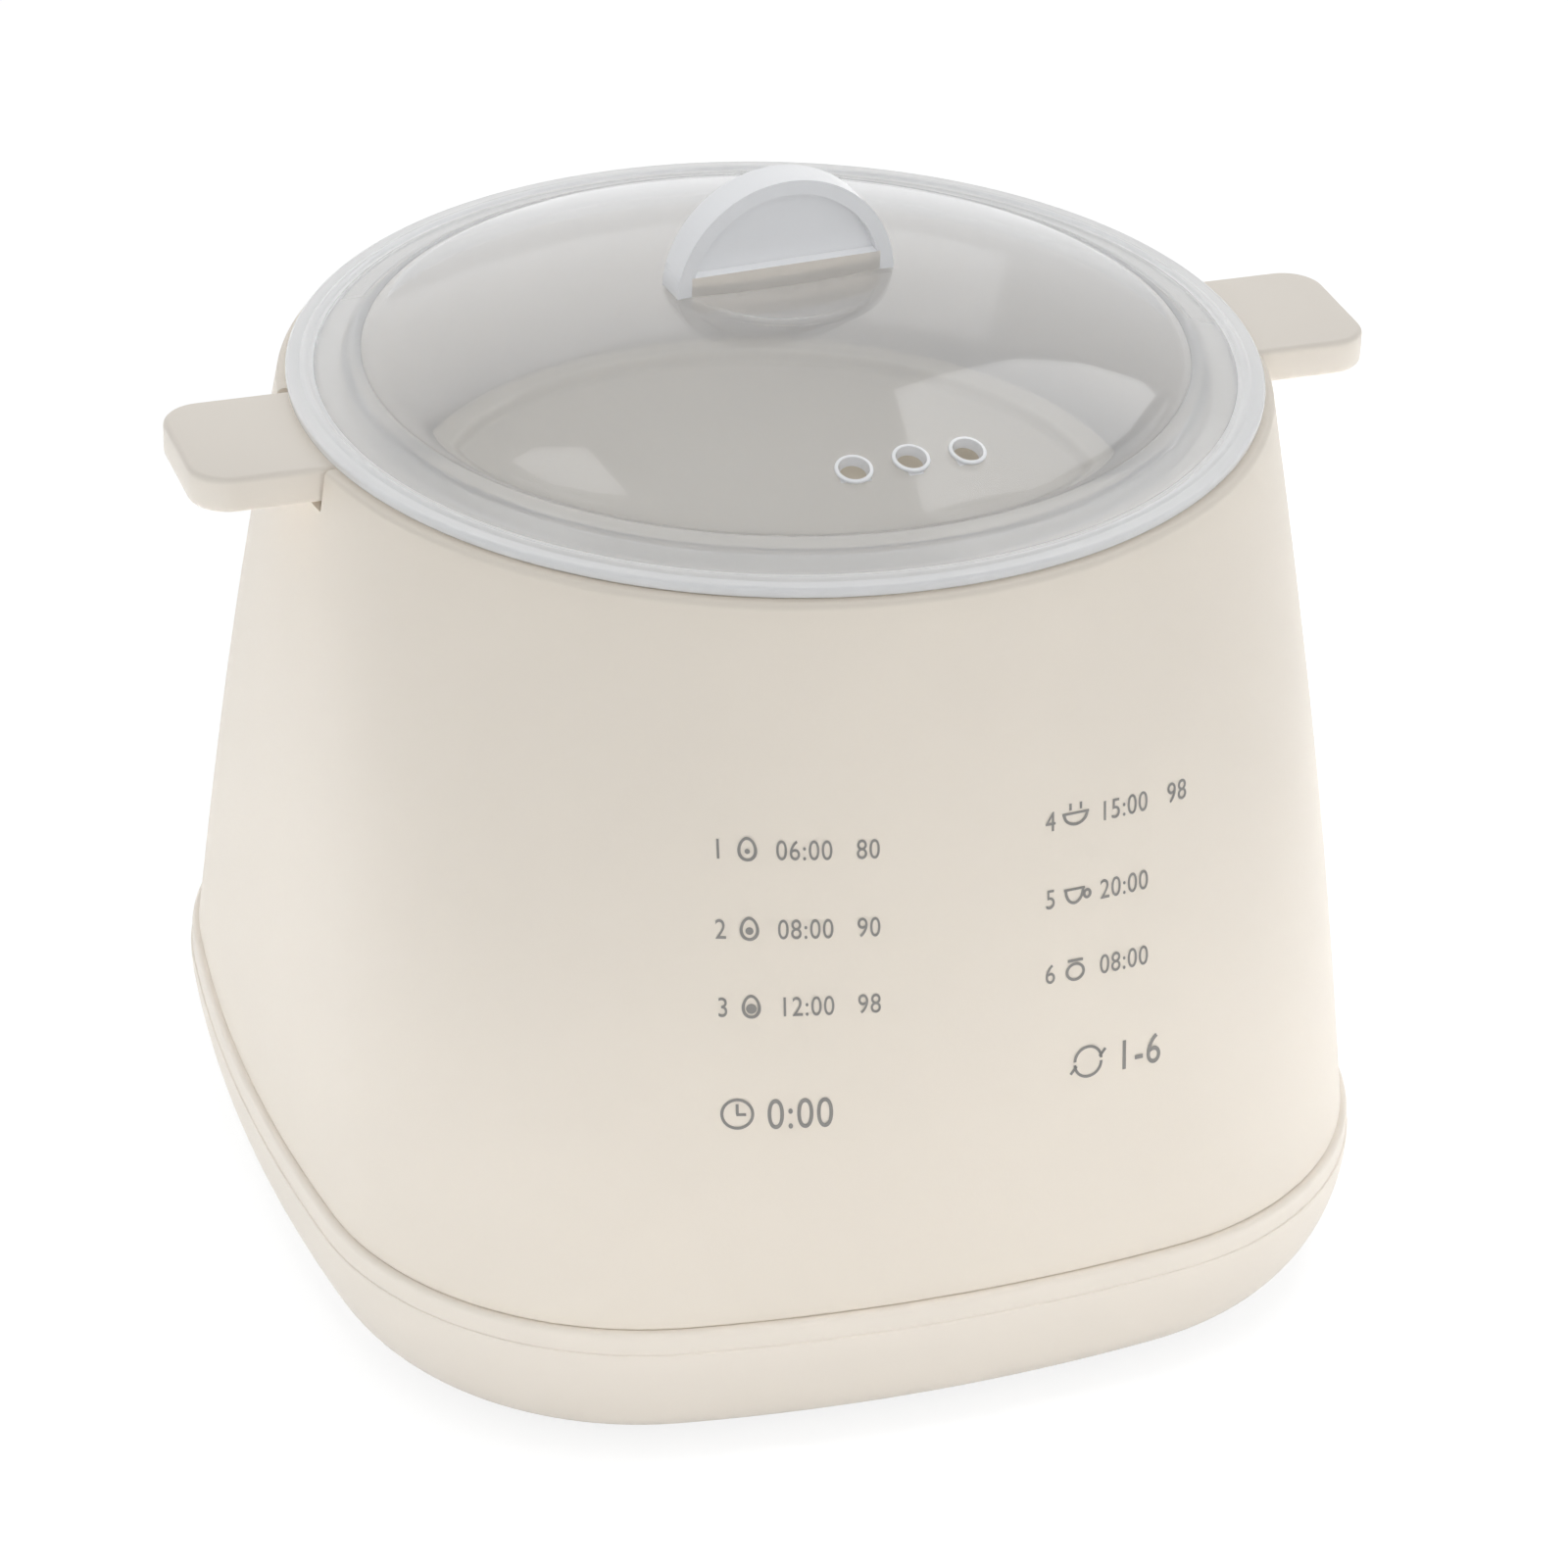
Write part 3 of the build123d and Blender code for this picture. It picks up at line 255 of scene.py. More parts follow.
def newFinish(name):
    material = bpy.data.materials.new(name)
    material.use_nodes = True
    tree = material.node_tree
    shader = tree.nodes["Principled BSDF"]
    return material, tree, shader


def addNoise(tree, scale, detail, stretch=(1, 1, 1)):
    # noise on the object's own coordinates; scale is per metre
    place = tree.nodes.new("ShaderNodeTexCoord")
    mapping = tree.nodes.new("ShaderNodeMapping")
    mapping.inputs["Scale"].default_value = stretch
    noise = tree.nodes.new("ShaderNodeTexNoise")
    noise.inputs["Scale"].default_value = scale
    noise.inputs["Detail"].default_value = detail
    tree.links.new(place.outputs["Object"], mapping.inputs["Vector"])
    tree.links.new(mapping.outputs["Vector"], noise.inputs["Vector"])
    return noise


def spread(tree, source, low, high):
    # brings a noise value between two limits
    ranged = tree.nodes.new("ShaderNodeMapRange")
    ranged.inputs["From Min"].default_value = noiseLow
    ranged.inputs["From Max"].default_value = noiseHigh
    ranged.inputs["To Min"].default_value = low
    ranged.inputs["To Max"].default_value = high
    tree.links.new(source, ranged.inputs["Value"])
    return ranged.outputs["Result"]


def tint(colour, share):
    # a lighter or darker shade of a colour
    return [min(channel * share, 1) for channel in colour] + [1]


def dressing(name, colour, roughness, mottle=0.015, cloud=14, grain=1800, relief=0.012,
             metallic=0.0, stretch=(1, 1, 1), roughSpread=0.05):
    # a moulded, cast or rubber surface: cloudy colour, fine grain and uneven gloss; cloud and
    # grain are noise scales per metre, relief is in millimetres
    material, tree, shader = newFinish(name)
    clouds = addNoise(tree, cloud, 4, stretch)
    colours = tree.nodes.new("ShaderNodeValToRGB")
    for stop, position, shade in zip(colours.color_ramp.elements, (noiseLow, noiseHigh),
                                     (1 - mottle, 1 + mottle)):
        stop.position = position
        stop.color = tint(colour, shade)
    tree.links.new(clouds.outputs["Fac"], colours.inputs["Fac"])
    tree.links.new(colours.outputs["Color"], shader.inputs["Base Color"])
    shader.inputs["Metallic"].default_value = metallic
    fine = addNoise(tree, grain, 3, stretch)
    gloss = spread(tree, fine.outputs["Fac"], roughness - roughSpread, roughness + roughSpread)
    tree.links.new(gloss, shader.inputs["Roughness"])
    bump = tree.nodes.new("ShaderNodeBump")
    bump.inputs["Distance"].default_value = relief * mm
    bump.inputs["Strength"].default_value = 1.0
    tree.links.new(fine.outputs["Fac"], bump.inputs["Height"])
    tree.links.new(bump.outputs["Normal"], shader.inputs["Normal"])
    return material


def blendShaders(tree, share, first, second, output):
    # share 0 shows the first shader and 1 the second
    blend = tree.nodes.new("ShaderNodeMixShader")
    tree.links.new(share, blend.inputs["Fac"])
    tree.links.new(first, blend.inputs[1])
    tree.links.new(second, blend.inputs[2])
    tree.links.new(blend.outputs["Shader"], tree.nodes[output].inputs["Surface"])


def dress(obj, material):
    obj.data.materials.clear()
    obj.data.materials.append(material)


def finishPiece(obj, material, bodyName, slot, angle, *replaced):
    # dresses and smooths a finished piece, gives it its body and hides the nodes it stands in for;
    # the slot is not used
    dress(obj, material)
    smooth(obj, angle)
    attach(obj, bodyName)
    if replaced:
        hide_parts(*replaced)


creamShell = dressing("creamShell", (0.84, 0.77, 0.675), 0.46)
# the base is the shell's cream made lighter: painted light for the light the floor throws up onto
# it
creamBasePaintedLight = dressing("creamBasePaintedLight", (0.86, 0.795, 0.71), 0.46)
creamBasket = dressing("creamBasket", (0.86, 0.795, 0.71), 0.44, relief=0.005)
# the bowl is the same cream plastic made darker: painted shade for the shade inside the basket
# under the lid
creamBowlPaintedShade = dressing("creamBowlPaintedShade", (0.66, 0.59, 0.48), 0.40)

# the shell, with the ledge that carries the pan, two notches for the ears and the inlet at the back
shell = {
    "ledgeTop": 136.8, "ledgeBottom": 134.2, "ledgeBore": 73.6,
    "notchReach": 74.3, "notchLength": 10, "notchWidth": 29.6, "notchDepth": 7.2,
    "notchAbove": 4, "notchEdge": 0.5,
    "inletZ": 37.5, "padFace": 85.5, "padSize": (36, 4.8, 18),
    "openingY": 95, "openingSize": (23.6, 30, 13.6), "openingEdge": 2.9,
}


def makeShell():
    edge, rim, inner = body["seamEdge"], body["rimEdge"], body["innerEdge"]
    wall = body["wall"]
    path = [(seamZ + edge * (1 - cos(t)), edge * (1 - sin(t))) for t in spaced(0, pi / 2, 4)]
    path += [(z, 0) for z in spaced(seamZ + edge, rimZ - rim, body["rings"])[1:]]
    path += [(rimZ - rim + rim * sin(t), rim * (1 - cos(t))) for t in spaced(0, pi / 2, 6)[1:]]
    path += [(rimZ - inner * (1 - cos(t)), wall - inner * (1 - sin(t)))
             for t in spaced(0, pi / 2, 3)]
    path += [(z, wall) for z in spaced(rimZ - inner, shell["ledgeTop"], 3)[1:]]
    rings = [(z, shellReach(z, inset)) for z, inset in path]
    rings += [(shell["ledgeTop"], shell["ledgeBore"]), (shell["ledgeBottom"], shell["ledgeBore"])]
    rings += [(z, shellReach(z, wall)) for z in spaced(shell["ledgeBottom"], seamZ, 10)]
    piece = ringStack("housingShell", body["around"], rings, poles=False)
    padY = shell["padFace"] + shell["padSize"][1] / 2
    combine(piece, block("pad", (0, padY, shell["inletZ"]), shell["padSize"]), "UNION")
    opening = block("opening", (0, shell["openingY"], shell["inletZ"]), shell["openingSize"],
                    shell["openingEdge"], 6)
    combine(piece, opening, "DIFFERENCE")
    top, low = rimZ + shell["notchAbove"], rimZ - shell["notchDepth"]
    length = shell["notchLength"]
    for way in (-1, 1):
        notch = block("notch", (way * (shell["notchReach"] + length / 2), 0, (top + low) / 2),
                      (length, shell["notchWidth"], top - low), shell["notchEdge"], 3)
        combine(piece, notch, "DIFFERENCE")
    finishPiece(piece, creamShell, "housing", "cream_shell", 30, "outer_shell")
    return piece


housingShell = makeShell()
print("shell made")

# the base: a band, a crease under it and a curved flank; crease gives heights from its middle
# and how much of the step each keeps, and the flank's angles run from its top to the floor
base = {
    "proud": 1.1, "band": 3.8, "topEdge": 0.9, "step": 0.3,
    "crease": ((-0.12, 1.0), (-0.03, 0.85), (0.0, 0.5), (0.06, 0.1), (0.2, 0.0)),
    "flankInset": 14.0, "flankStart": 2, "flankEnd": 78.0, "innerStart": 14, "wall": 2.6,
    "floorRings": (20, 45), "floorInset": 16, "innerRing": 50,
    "lipHeight": 4.0, "lipOut": 2.9, "lipIn": 4.9,
    "footRecess": 1.2, "footRadius": 8.3,
    "slots": 5, "slotPitch": 9.0, "slotY": -44.0, "slotRise": 1, "slotSize": (3, 26, 8),
    "slotEdge": 1.4,
}
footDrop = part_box("base_shell")[0].z / mm
flankTop = seamZ - base["band"]
flankHeight = (flankTop - footDrop) / sin(radians(base["flankEnd"]))


def flankRing(angle, thickness):
    # a ring of the flank's quarter ellipse, or of its inner wall a thickness inside it
    swing = radians(angle)
    inset = -base["proud"] - base["step"] + base["flankInset"] * (1 - cos(swing))
    z = flankTop - flankHeight * sin(swing)
    lean = atan2(base["flankInset"] * sin(swing), flankHeight * cos(swing))
    return z + thickness * sin(lean), seamReach(inset + thickness * cos(lean))


def lipReach(inset):
    # the lip stands inside the shell, upright, and clears it at its own top
    halfWidth, halfDepth = halfSizes(seamZ + base["lipHeight"])[1:]
    return lambda bearing: outlineReach(bearing, halfWidth, halfDepth, 1, inset)


def makeBase():
    proud, edge, end = base["proud"], base["topEdge"], base["flankEnd"]
    lipTop = seamZ + base["lipHeight"]
    rings = [(footDrop, reach) for reach in (poleRadius, *base["floorRings"],
                                             seamReach(base["floorInset"]))]
    rings += [flankRing(angle, 0) for angle in spaced(end, base["flankStart"], 22)]
    rings += [(flankTop + dz, seamReach(-proud - base["step"] * out)) for dz, out in base["crease"]]
    rings += [(seamZ - edge + edge * sin(t), seamReach(-proud + edge * (1 - cos(t))))
              for t in spaced(0, pi / 2, 5)]
    rings += [(seamZ, lipReach(base["lipOut"])), (lipTop, lipReach(base["lipOut"])),
              (lipTop, lipReach(base["lipIn"])), (flankTop, lipReach(base["lipIn"]))]
    rings += [flankRing(angle, base["wall"]) for angle in spaced(base["innerStart"], end, 10)]
    floorZ = rings[-1][0]
    rings += [(floorZ, base["innerRing"]), (floorZ, poleRadius)]
    piece = ringStack("housingBase", body["around"], rings, poles=True)
    for foot in ("foot_front_left", "foot_front_right", "foot_rear_left", "foot_rear_right"):
        low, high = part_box(foot)
        centre = (low + high) / 2 / mm
        recess = rod("recess", (centre.x, centre.y, footDrop), base["footRadius"],
                     2 * base["footRecess"])
        combine(piece, recess, "DIFFERENCE")
    for index in range(base["slots"]):
        x = (index - (base["slots"] - 1) / 2) * base["slotPitch"]
        slotCut = block("slotCut", (x, base["slotY"], footDrop + base["slotRise"]),
                        base["slotSize"], base["slotEdge"], 5)
        combine(piece, slotCut, "DIFFERENCE")
    finishPiece(piece, creamBasePaintedLight, "housing", "cream_base", 30, "base_shell")


makeBase()
print("base made")

# pan, basket and bowl are turned pieces with one ring between the pole and the corner of a floor
turnedAround = 192
floorRing = 30

# the water pan
pan = {"inner": 71.9, "outer": 72.9, "wall": 1, "corner": 8.0, "floorTop": 40.0,
       "floorUnder": 38.5, "flange": 75.6, "flangeThickness": 1.2, "flangeEdge": 0.5,
       "flangeUnder": 0.3, "mouthEdge": 0.7}
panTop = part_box("pot")[1].z / mm
panMetal = dressing("panMetal", (0.62, 0.61, 0.59), 0.32, mottle=0.04, cloud=40, grain=900,
                    relief=0.01, metallic=1.0, stretch=(0.2, 0.2, 2.5), roughSpread=0.08)


def makePan():
    corner, edge, mouth = pan["corner"], pan["flangeEdge"], pan["mouthEdge"]
    thick = pan["flangeThickness"]
    rings = [(pan["floorUnder"], poleRadius), (pan["floorUnder"], floorRing)]
    rings += arc((pan["floorUnder"] + corner, pan["outer"] - corner), corner, -90, 0, 8)
    rings += [(panTop - thick, pan["outer"]), (panTop - thick, pan["flange"] - pan["flangeUnder"])]
    rings += arc((panTop - thick / 2, pan["flange"] - edge), edge, -60, 60, 4)
    rings += arc((panTop - mouth, pan["inner"] + mouth), mouth, 90, 180, 4)
    small = corner - pan["wall"]
    rings += arc((pan["floorTop"] + small, pan["inner"] - small), small, 0, -90, 8)
    rings += [(pan["floorTop"], floorRing), (pan["floorTop"], poleRadius)]
    piece = ringStack("waterPan", turnedAround, rings, poles=True)
    finishPiece(piece, panMetal, "housing", "pan_metal", 30, "pot")


makePan()
print("water pan made")

# the steam basket with its two ears; each ring of slots has a radius, a count and a length
basket = {
    "inner": 69.2, "wall": 2.0, "draft": 1.7, "floorTop": 72.0, "floorUnder": 69.8,
    "corner": 6, "fillet": 4,
    "flange": 75.6, "rimThickness": 3.0, "rimEdge": 0.5, "underEdge": 0.4, "mouthEdge": 0.6,
    "earWidth": 28.0, "earThickness": 6.0, "earRoot": 6, "earCorner": 6.5, "earEdge": 1.0,
    "slotRings": ((20, 6, 16), (42, 12, 20)), "slotWidth": 4.0, "slotDepth": 8, "slotEdge": 1.9,
}
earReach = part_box("steam_basket")[1].x / mm


def makeEar(way):
    # a flat tab with round corners, cut away under the basket's own rim
    inner = basket["flange"] - basket["earRoot"]
    ear = block("ear", (way * (inner + earReach) / 2, 0, rimZ - basket["earThickness"] / 2),
                (earReach - inner, basket["earWidth"], basket["earThickness"]))
    toEdit(ear)
    bpy.ops.mesh.select_mode(type="EDGE")
    bpy.ops.mesh.select_all(action="DESELECT")
    cage = bmesh.from_edit_mesh(ear.data)
    for side in cage.edges:
        ends = [vert.co for vert in side.verts]
        upright = abs(ends[0].z - ends[1].z) > mm
        side.select = upright and ends[0].x * way > (earReach - 1) * mm
    bmesh.update_edit_mesh(ear.data)
    bpy.ops.mesh.bevel(offset=basket["earCorner"] * mm, segments=10, affect="EDGES")
    toObject()
    roundEdges(ear, basket["earEdge"], 5)
    deep = 20
    under = rod("under", (0, 0, rimZ - basket["rimThickness"] - deep / 2), basket["flange"] + 1,
                deep, turnedAround)
    combine(ear, under, "DIFFERENCE")
    return ear


def slotRing(piece, ring, count, length):
    for index in range(count):
        turn = 2 * pi * index / count
        slotCut = block("slotCut", (0, 0, 0), (length, basket["slotWidth"], basket["slotDepth"]),
                        basket["slotEdge"], 5)
        slotCut.data.transform(Matrix.Translation((ring * mm, 0, basket["floorTop"] * mm)))
        slotCut.data.transform(Matrix.Rotation(turn, 4, "Z"))
        combine(piece, slotCut, "DIFFERENCE")


def makeBasket():
    low = basket["inner"] - basket["draft"]
    thick, corner, fillet = basket["wall"], basket["corner"], basket["fillet"]
    under, edge, mouth = basket["underEdge"], basket["rimEdge"], basket["mouthEdge"]
    rimUnder = rimZ - basket["rimThickness"]
    rings = [(basket["floorUnder"], poleRadius), (basket["floorUnder"], floorRing)]
    rings += arc((basket["floorUnder"] + corner, low + thick - corner), corner, -90, 0, 7)
    rings += [(rimUnder, basket["inner"] + thick), (rimUnder, basket["flange"] - under)]
    rings += [(rimUnder + under, basket["flange"])]
    rings += arc((rimZ - edge, basket["flange"] - edge), edge, 0, 90, 4)
    rings += arc((rimZ - mouth, basket["inner"] + mouth), mouth, 90, 180, 4)
    rings += arc((basket["floorTop"] + fillet, low - fillet), fillet, 0, -90, 6)
    rings += [(basket["floorTop"], floorRing), (basket["floorTop"], poleRadius)]
    piece = ringStack("steamBasket", turnedAround, rings, poles=True)
    for way in (-1, 1):
        combine(piece, makeEar(way), "UNION")
    for ring, count, length in basket["slotRings"]:
        slotRing(piece, ring, count, length)
    finishPiece(piece, creamBasket, "basket", "cream_basket", 30, "steam_basket")


makeBasket()
print("basket made")

# the bowl, stored mouth down, with a raised ring on its disc
bowl = {"mouth": 65.0, "edge": 0.9, "wall": 2.6, "shoulder": 60.7, "shoulderDrop": 2.2, "fillet": 4,
        "ring": 59.7, "ringWidth": 5.2, "ringHeight": 2.6, "ringFoot": 0.6, "ringInner": 0.9,
        "ringOuter": 1.0}
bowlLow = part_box("custard_bowl")[0].z / mm
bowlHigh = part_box("custard_bowl")[1].z / mm


def makeBowl():
    top = bowlHigh - bowl["ringHeight"]
    thick, edge, fillet = bowl["wall"], bowl["edge"], bowl["fillet"]
    foot, inner, outer = bowl["ringFoot"], bowl["ringInner"], bowl["ringOuter"]
    inside = bowl["ring"] - bowl["ringWidth"]
    rings = [(top, poleRadius), (top, inside - 2 * foot)]
    rings += arc((top + foot, inside - foot), foot, -90, 0, 3)
    rings += arc((bowlHigh - inner, inside + inner), inner, 180, 90, 4)
    rings += arc((bowlHigh - outer, bowl["ring"] - outer), outer, 90, 5, 5)
    rings += [(top - bowl["shoulderDrop"], bowl["shoulder"])]
    rings += arc((bowlLow + edge, bowl["mouth"] - edge), edge, 0, -90, 4)
    rings += arc((bowlLow + edge, bowl["mouth"] - thick + edge), edge, -90, -180, 4)
    rings += arc((top - thick - fillet, bowl["shoulder"] - thick - fillet), fillet, 5, 90, 6)
    rings += [(top - thick, floorRing), (top - thick, poleRadius)]
    piece = ringStack("custardBowl", turnedAround, rings, poles=True)
    finishPiece(piece, creamBowlPaintedShade, "bowl", "cream_bowl", 35, "custard_bowl")


makeBowl()
print("bowl made")

# the clear lid: flange with its bead, skirt, shoulder, dome, finger well, grip and steam vents
lid = {
    "radius": 78.0, "wall": 1.8, "gap": 0.3, "edge": 0.6, "around": 288, "turn": 4.0,
    "flangeInner": 73.4, "bead": 75.0, "beadWidth": 1.6, "beadHeight": 0.4,
    "dome": 66.0, "domeWall": 1.3, "rise": 15.6, "step": 2.7, "shoulderWall": 1.5,
    "skirt": 68.6, "skirtDepth": 1.3, "skirtWall": 1.1, "skirtEdge": 0.4,
    "well": 16.6, "wellDepth": 1.4, "wellEdge": 0.8,
    "gripRadius": 18.5, "gripRise": 16.6, "gripThickness": 6.4, "gripPanel": 2.2,
    "gripRim": 2.4, "gripSill": 2.3, "gripEdge": 0.5,
    "vents": 3, "ventPitch": 9.4, "ventPlace": 53.0, "ventLow": 4.0, "ventHigh": 5.1,
    "ventCollar": 6.0, "ventLift": 0.35, "ventEdge": 0.2, "ventFoot": -0.7, "ventTop": 1.0,
}
lidUnder = rimZ + lid["gap"]
lidZ = lidUnder + lid["wall"]
crownZ = lidZ + lid["rise"]
domeRise = lid["rise"] - lid["step"]
domeSphere = (lid["dome"] ** 2 + domeRise**2) / (2 * domeRise)


def domeHeight(radius, depth):
    # height of the dome, or of a surface a depth inside it, at a distance from the axis
    return crownZ - domeSphere + sqrt((domeSphere - depth) ** 2 - radius**2)


wellSag = domeHeight(lid["well"], 0) - crownZ + lid["wellDepth"]
wellSphere = (lid["well"] ** 2 + wellSag**2) / (2 * wellSag)


def wellHeight(radius, depth):
    # the same for the hollow of the finger well
    return crownZ - lid["wellDepth"] + wellSphere - sqrt((wellSphere + depth) ** 2 - radius**2)


def makeHalfDisc(name, radius, foot, front, back):
    # a half disc standing across the well, from front to back; foot gives its underside
    gripZ = crownZ + lid["gripRise"] - lid["gripRadius"]
    bpy.ops.object.select_all(action="DESELECT")
    bpy.ops.mesh.primitive_circle_add(vertices=120, radius=radius * mm, fill_type="NGON",
                                      location=(0, front * mm, gripZ * mm), rotation=(pi / 2, 0, 0))
    disc = named(name)
    settle(disc)
    toEdit(disc)
    cage = bmesh.from_edit_mesh(disc.data)
    for vert in cage.verts:
        vert.co.z = max(vert.co.z, foot(min(abs(vert.co.x) / mm, radius)) * mm)
    bmesh.update_edit_mesh(disc.data)
    bpy.ops.mesh.select_all(action="SELECT")
    bpy.ops.mesh.extrude_region_move(TRANSFORM_OT_translate={"value": (0, (back - front) * mm, 0)})
    bpy.ops.mesh.select_all(action="SELECT")
    bpy.ops.mesh.remove_doubles(threshold=10 * weldGap * mm)
    bpy.ops.mesh.normals_make_consistent(inside=False)
    toObject()
    return disc


def makeGrip():
    # the half disc keeps a rim round a thinner panel
    half, panel = lid["gripThickness"] / 2, lid["gripPanel"] / 2
    inner = lid["gripRadius"] - lid["gripRim"]
    sill = crownZ + lid["gripSill"]

    def foot(r):
        # the foot stands in the middle of the lid's wall
        deep = lid["domeWall"] / 2
        return min(wellHeight(min(r, lid["well"]), deep), domeHeight(r, deep))

    grip = makeHalfDisc("grip", lid["gripRadius"], foot, -half, half)
    for front, back in ((-half - 1, -panel), (panel, half + 1)):
        combine(grip, makeHalfDisc("panel", inner, lambda r: sill, front, back), "DIFFERENCE")
    # the band under the panel gets a warm tint of its own, painted refraction of the cream seen
    # through it, so its outline is cut into the faces
    for spot, way in (((0, 0, sill), (0, 0, 1)), ((-inner, 0, 0), (1, 0, 0)),
                      ((inner, 0, 0), (1, 0, 0))):
        toEdit(grip)
        bpy.ops.mesh.select_all(action="SELECT")
        bpy.ops.mesh.bisect(plane_co=[value * mm for value in spot], plane_no=way)
        toObject()
    roundEdges(grip, lid["gripEdge"], 3, 50)
    return grip


def ventPlug(name, spot, low, high, start, end):
    # a round plug square to the dome; low and high are its widths at the two ends
    bpy.ops.object.select_all(action="DESELECT")
    bpy.ops.mesh.primitive_cone_add(vertices=48, radius1=low / 2 * mm, radius2=high / 2 * mm,
                                    depth=(end - start) * mm)
    plug = named(name)
    outward = (spot - Vector((0, 0, crownZ - domeSphere))).normalized()
    plug.rotation_euler = outward.to_track_quat("Z", "Y").to_euler()
    plug.location = (spot + outward * (start + end) / 2) * mm
    settle(plug)
    return plug


def ventSpots():
    # how far across each vent lies
    return [(index - (lid["vents"] - 1) / 2) * lid["ventPitch"] for index in range(lid["vents"])]


def lidRings():
    # the outer surface from the pole to the rim, then the skirt and the inner surface back
    wall, dome, well = lid["wall"], lid["dome"], lid["well"]
    flange, edge, bead = lid["flangeInner"], lid["edge"], lid["bead"]
    mouth = well + lid["wellEdge"]
    half = lid["beadWidth"] / 2
    rings = [(wellHeight(0, 0), poleRadius)]
    rings += [(wellHeight(r, 0), r) for r in spaced(2, well - 0.4, 14)]
    rings += [(domeHeight(mouth, 0) - 0.05, mouth - 0.25)]
    rings += [(domeHeight(r, 0), r) for r in spaced(mouth + 0.2, dome - 0.4, 26)]
    rings += [(domeHeight(dome, 0) - 0.22, dome)]
    shoulder = domeHeight(dome, 0)
    rings += [(shoulder + (lidZ - shoulder) * share, dome + (flange - dome) * share)
              for share in (0.06, 0.3, 0.5, 0.7, 0.9, 0.97)]
    rings += [(lidZ + 0.03, flange + 0.15), (lidZ, flange + 0.5), (lidZ, bead - half)]
    rings += [(lidZ + lid["beadHeight"] * sin(pi * share), bead - half + 2 * half * share)
              for share in (0.2, 0.4, 0.6, 0.8, 1.0)]
    rings += arc((lidZ - edge, lid["radius"] - edge), edge, 90, 0, 5)
    rings += arc((lidUnder + edge, lid["radius"] - edge), edge, 0, -90, 5)
    rings += [(lidUnder, flange + 0.2)]
    # the shoulder's slope goes on under it, down to the skirt
    slope = (shoulder - lidZ) / (flange - dome)
    outer, inner = lid["skirt"], lid["skirt"] - lid["skirtWall"]
    low, curl = lidUnder - lid["skirtDepth"], lid["skirtEdge"]
    rings += [(lidZ - lid["shoulderWall"] + slope * (flange - r), r)
              for r in spaced(flange - 0.2, outer + 0.2, 4)]
    rings += [(lidZ - wall + slope * (flange - outer), outer)]
    rings += arc((low + curl, outer - curl), curl, 0, -90, 3)
    rings += arc((low + curl, inner + curl), curl, -90, -180, 3)
    rings += [(shoulder - slope * (inner - dome) - lid["shoulderWall"], inner)]
    thin = lid["domeWall"]
    rings += [(domeHeight(r, thin), r) for r in spaced(dome - 0.7, mouth + 0.2, 24)]
    rings += [(wellHeight(r, thin), r) for r in spaced(well - 0.4, 2, 14)]
    return rings + [(wellHeight(0, thin), poleRadius)]


def makeLid():
    piece = ringStack("clearLid", lid["around"], lidRings(), poles=True)
    for across in ventSpots():
        spot = Vector((across, -lid["ventPlace"], domeHeight(hypot(across, lid["ventPlace"]), 0)))
        collar = ventPlug("collar", spot, lid["ventCollar"], lid["ventCollar"], lid["ventFoot"],
                          lid["ventLift"])
        roundEdges(collar, lid["ventEdge"], 4)
        combine(piece, collar, "UNION")
        bore = ventPlug("bore", spot, lid["ventLow"], lid["ventHigh"], -lid["domeWall"] - 0.5,
                        lid["ventTop"])
        combine(piece, bore, "DIFFERENCE")
    combine(piece, makeGrip(), "UNION")
    piece.data.transform(Matrix.Rotation(radians(lid["turn"]), 4, "Z"))
    return piece


# what the lid's plastics share: refraction, haze, and the light they let through to what is behind
lidPlastic = {"ior": 1.585, "coatRoughness": 0.05, "hazeScale": 60, "hazeDetail": 4,
              "passed": (0.96, 0.96, 0.96, 1)}


def plastic(name, colour, clearness, low, high, gloss=0.0):
    # moulded plastic that is clear to a degree; low and high are its least and greatest roughness
    material, tree, shader = newFinish(name)
    shader.inputs["Base Color"].default_value = (*colour, 1)
    shader.inputs["Transmission Weight"].default_value = clearness
    shader.inputs["IOR"].default_value = lidPlastic["ior"]
    shader.inputs["Coat Weight"].default_value = gloss
    shader.inputs["Coat Roughness"].default_value = lidPlastic["coatRoughness"]
    haze = addNoise(tree, lidPlastic["hazeScale"], lidPlastic["hazeDetail"])
    tree.links.new(spread(tree, haze.outputs["Fac"], low, high), shader.inputs["Roughness"])
    rays = tree.nodes.new("ShaderNodeLightPath")
    through = tree.nodes.new("ShaderNodeBsdfTransparent")
    through.inputs["Color"].default_value = lidPlastic["passed"]
    blendShaders(tree, rays.outputs["Is Shadow Ray"], shader.outputs["BSDF"],
                 through.outputs["BSDF"], "Material Output")
    return material


def lidSlot(face):
    # the slot of a face by its place: dome 0, flange 1, foot of the grip 2, grip and vent
    # collars 3, top of the shoulder 4
    back = Matrix.Rotation(radians(-lid["turn"]), 3, "Z")
    spots = [back @ (clearLid.data.vertices[index].co / mm) for index in face.vertices]
    reaches = [hypot(spot.x, spot.y) for spot in spots]
    near = 0.1
    if min(reaches) > lid["flangeInner"] - near:
        return 1
    if min(reaches) > lid["dome"] - 2 * near and face.normal.z > 0.2:
        return 4
    for across in ventSpots():
        if all(hypot(spot.x - across, spot.y + lid["ventPlace"]) < lid["ventCollar"] / 2 + near
               for spot in spots):
            return 3
    if min(reaches) > lid["gripRadius"] + 1:
        return 0
    if max(spot.z - domeHeight(reach, 0) for spot, reach in zip(spots, reaches)) < near:
        return 0
    if min(spot.z for spot in spots) > crownZ + lid["gripSill"] - near / 2:
        return 3
    return 3 if min(reaches) > lid["gripRadius"] - lid["gripRim"] - near else 2


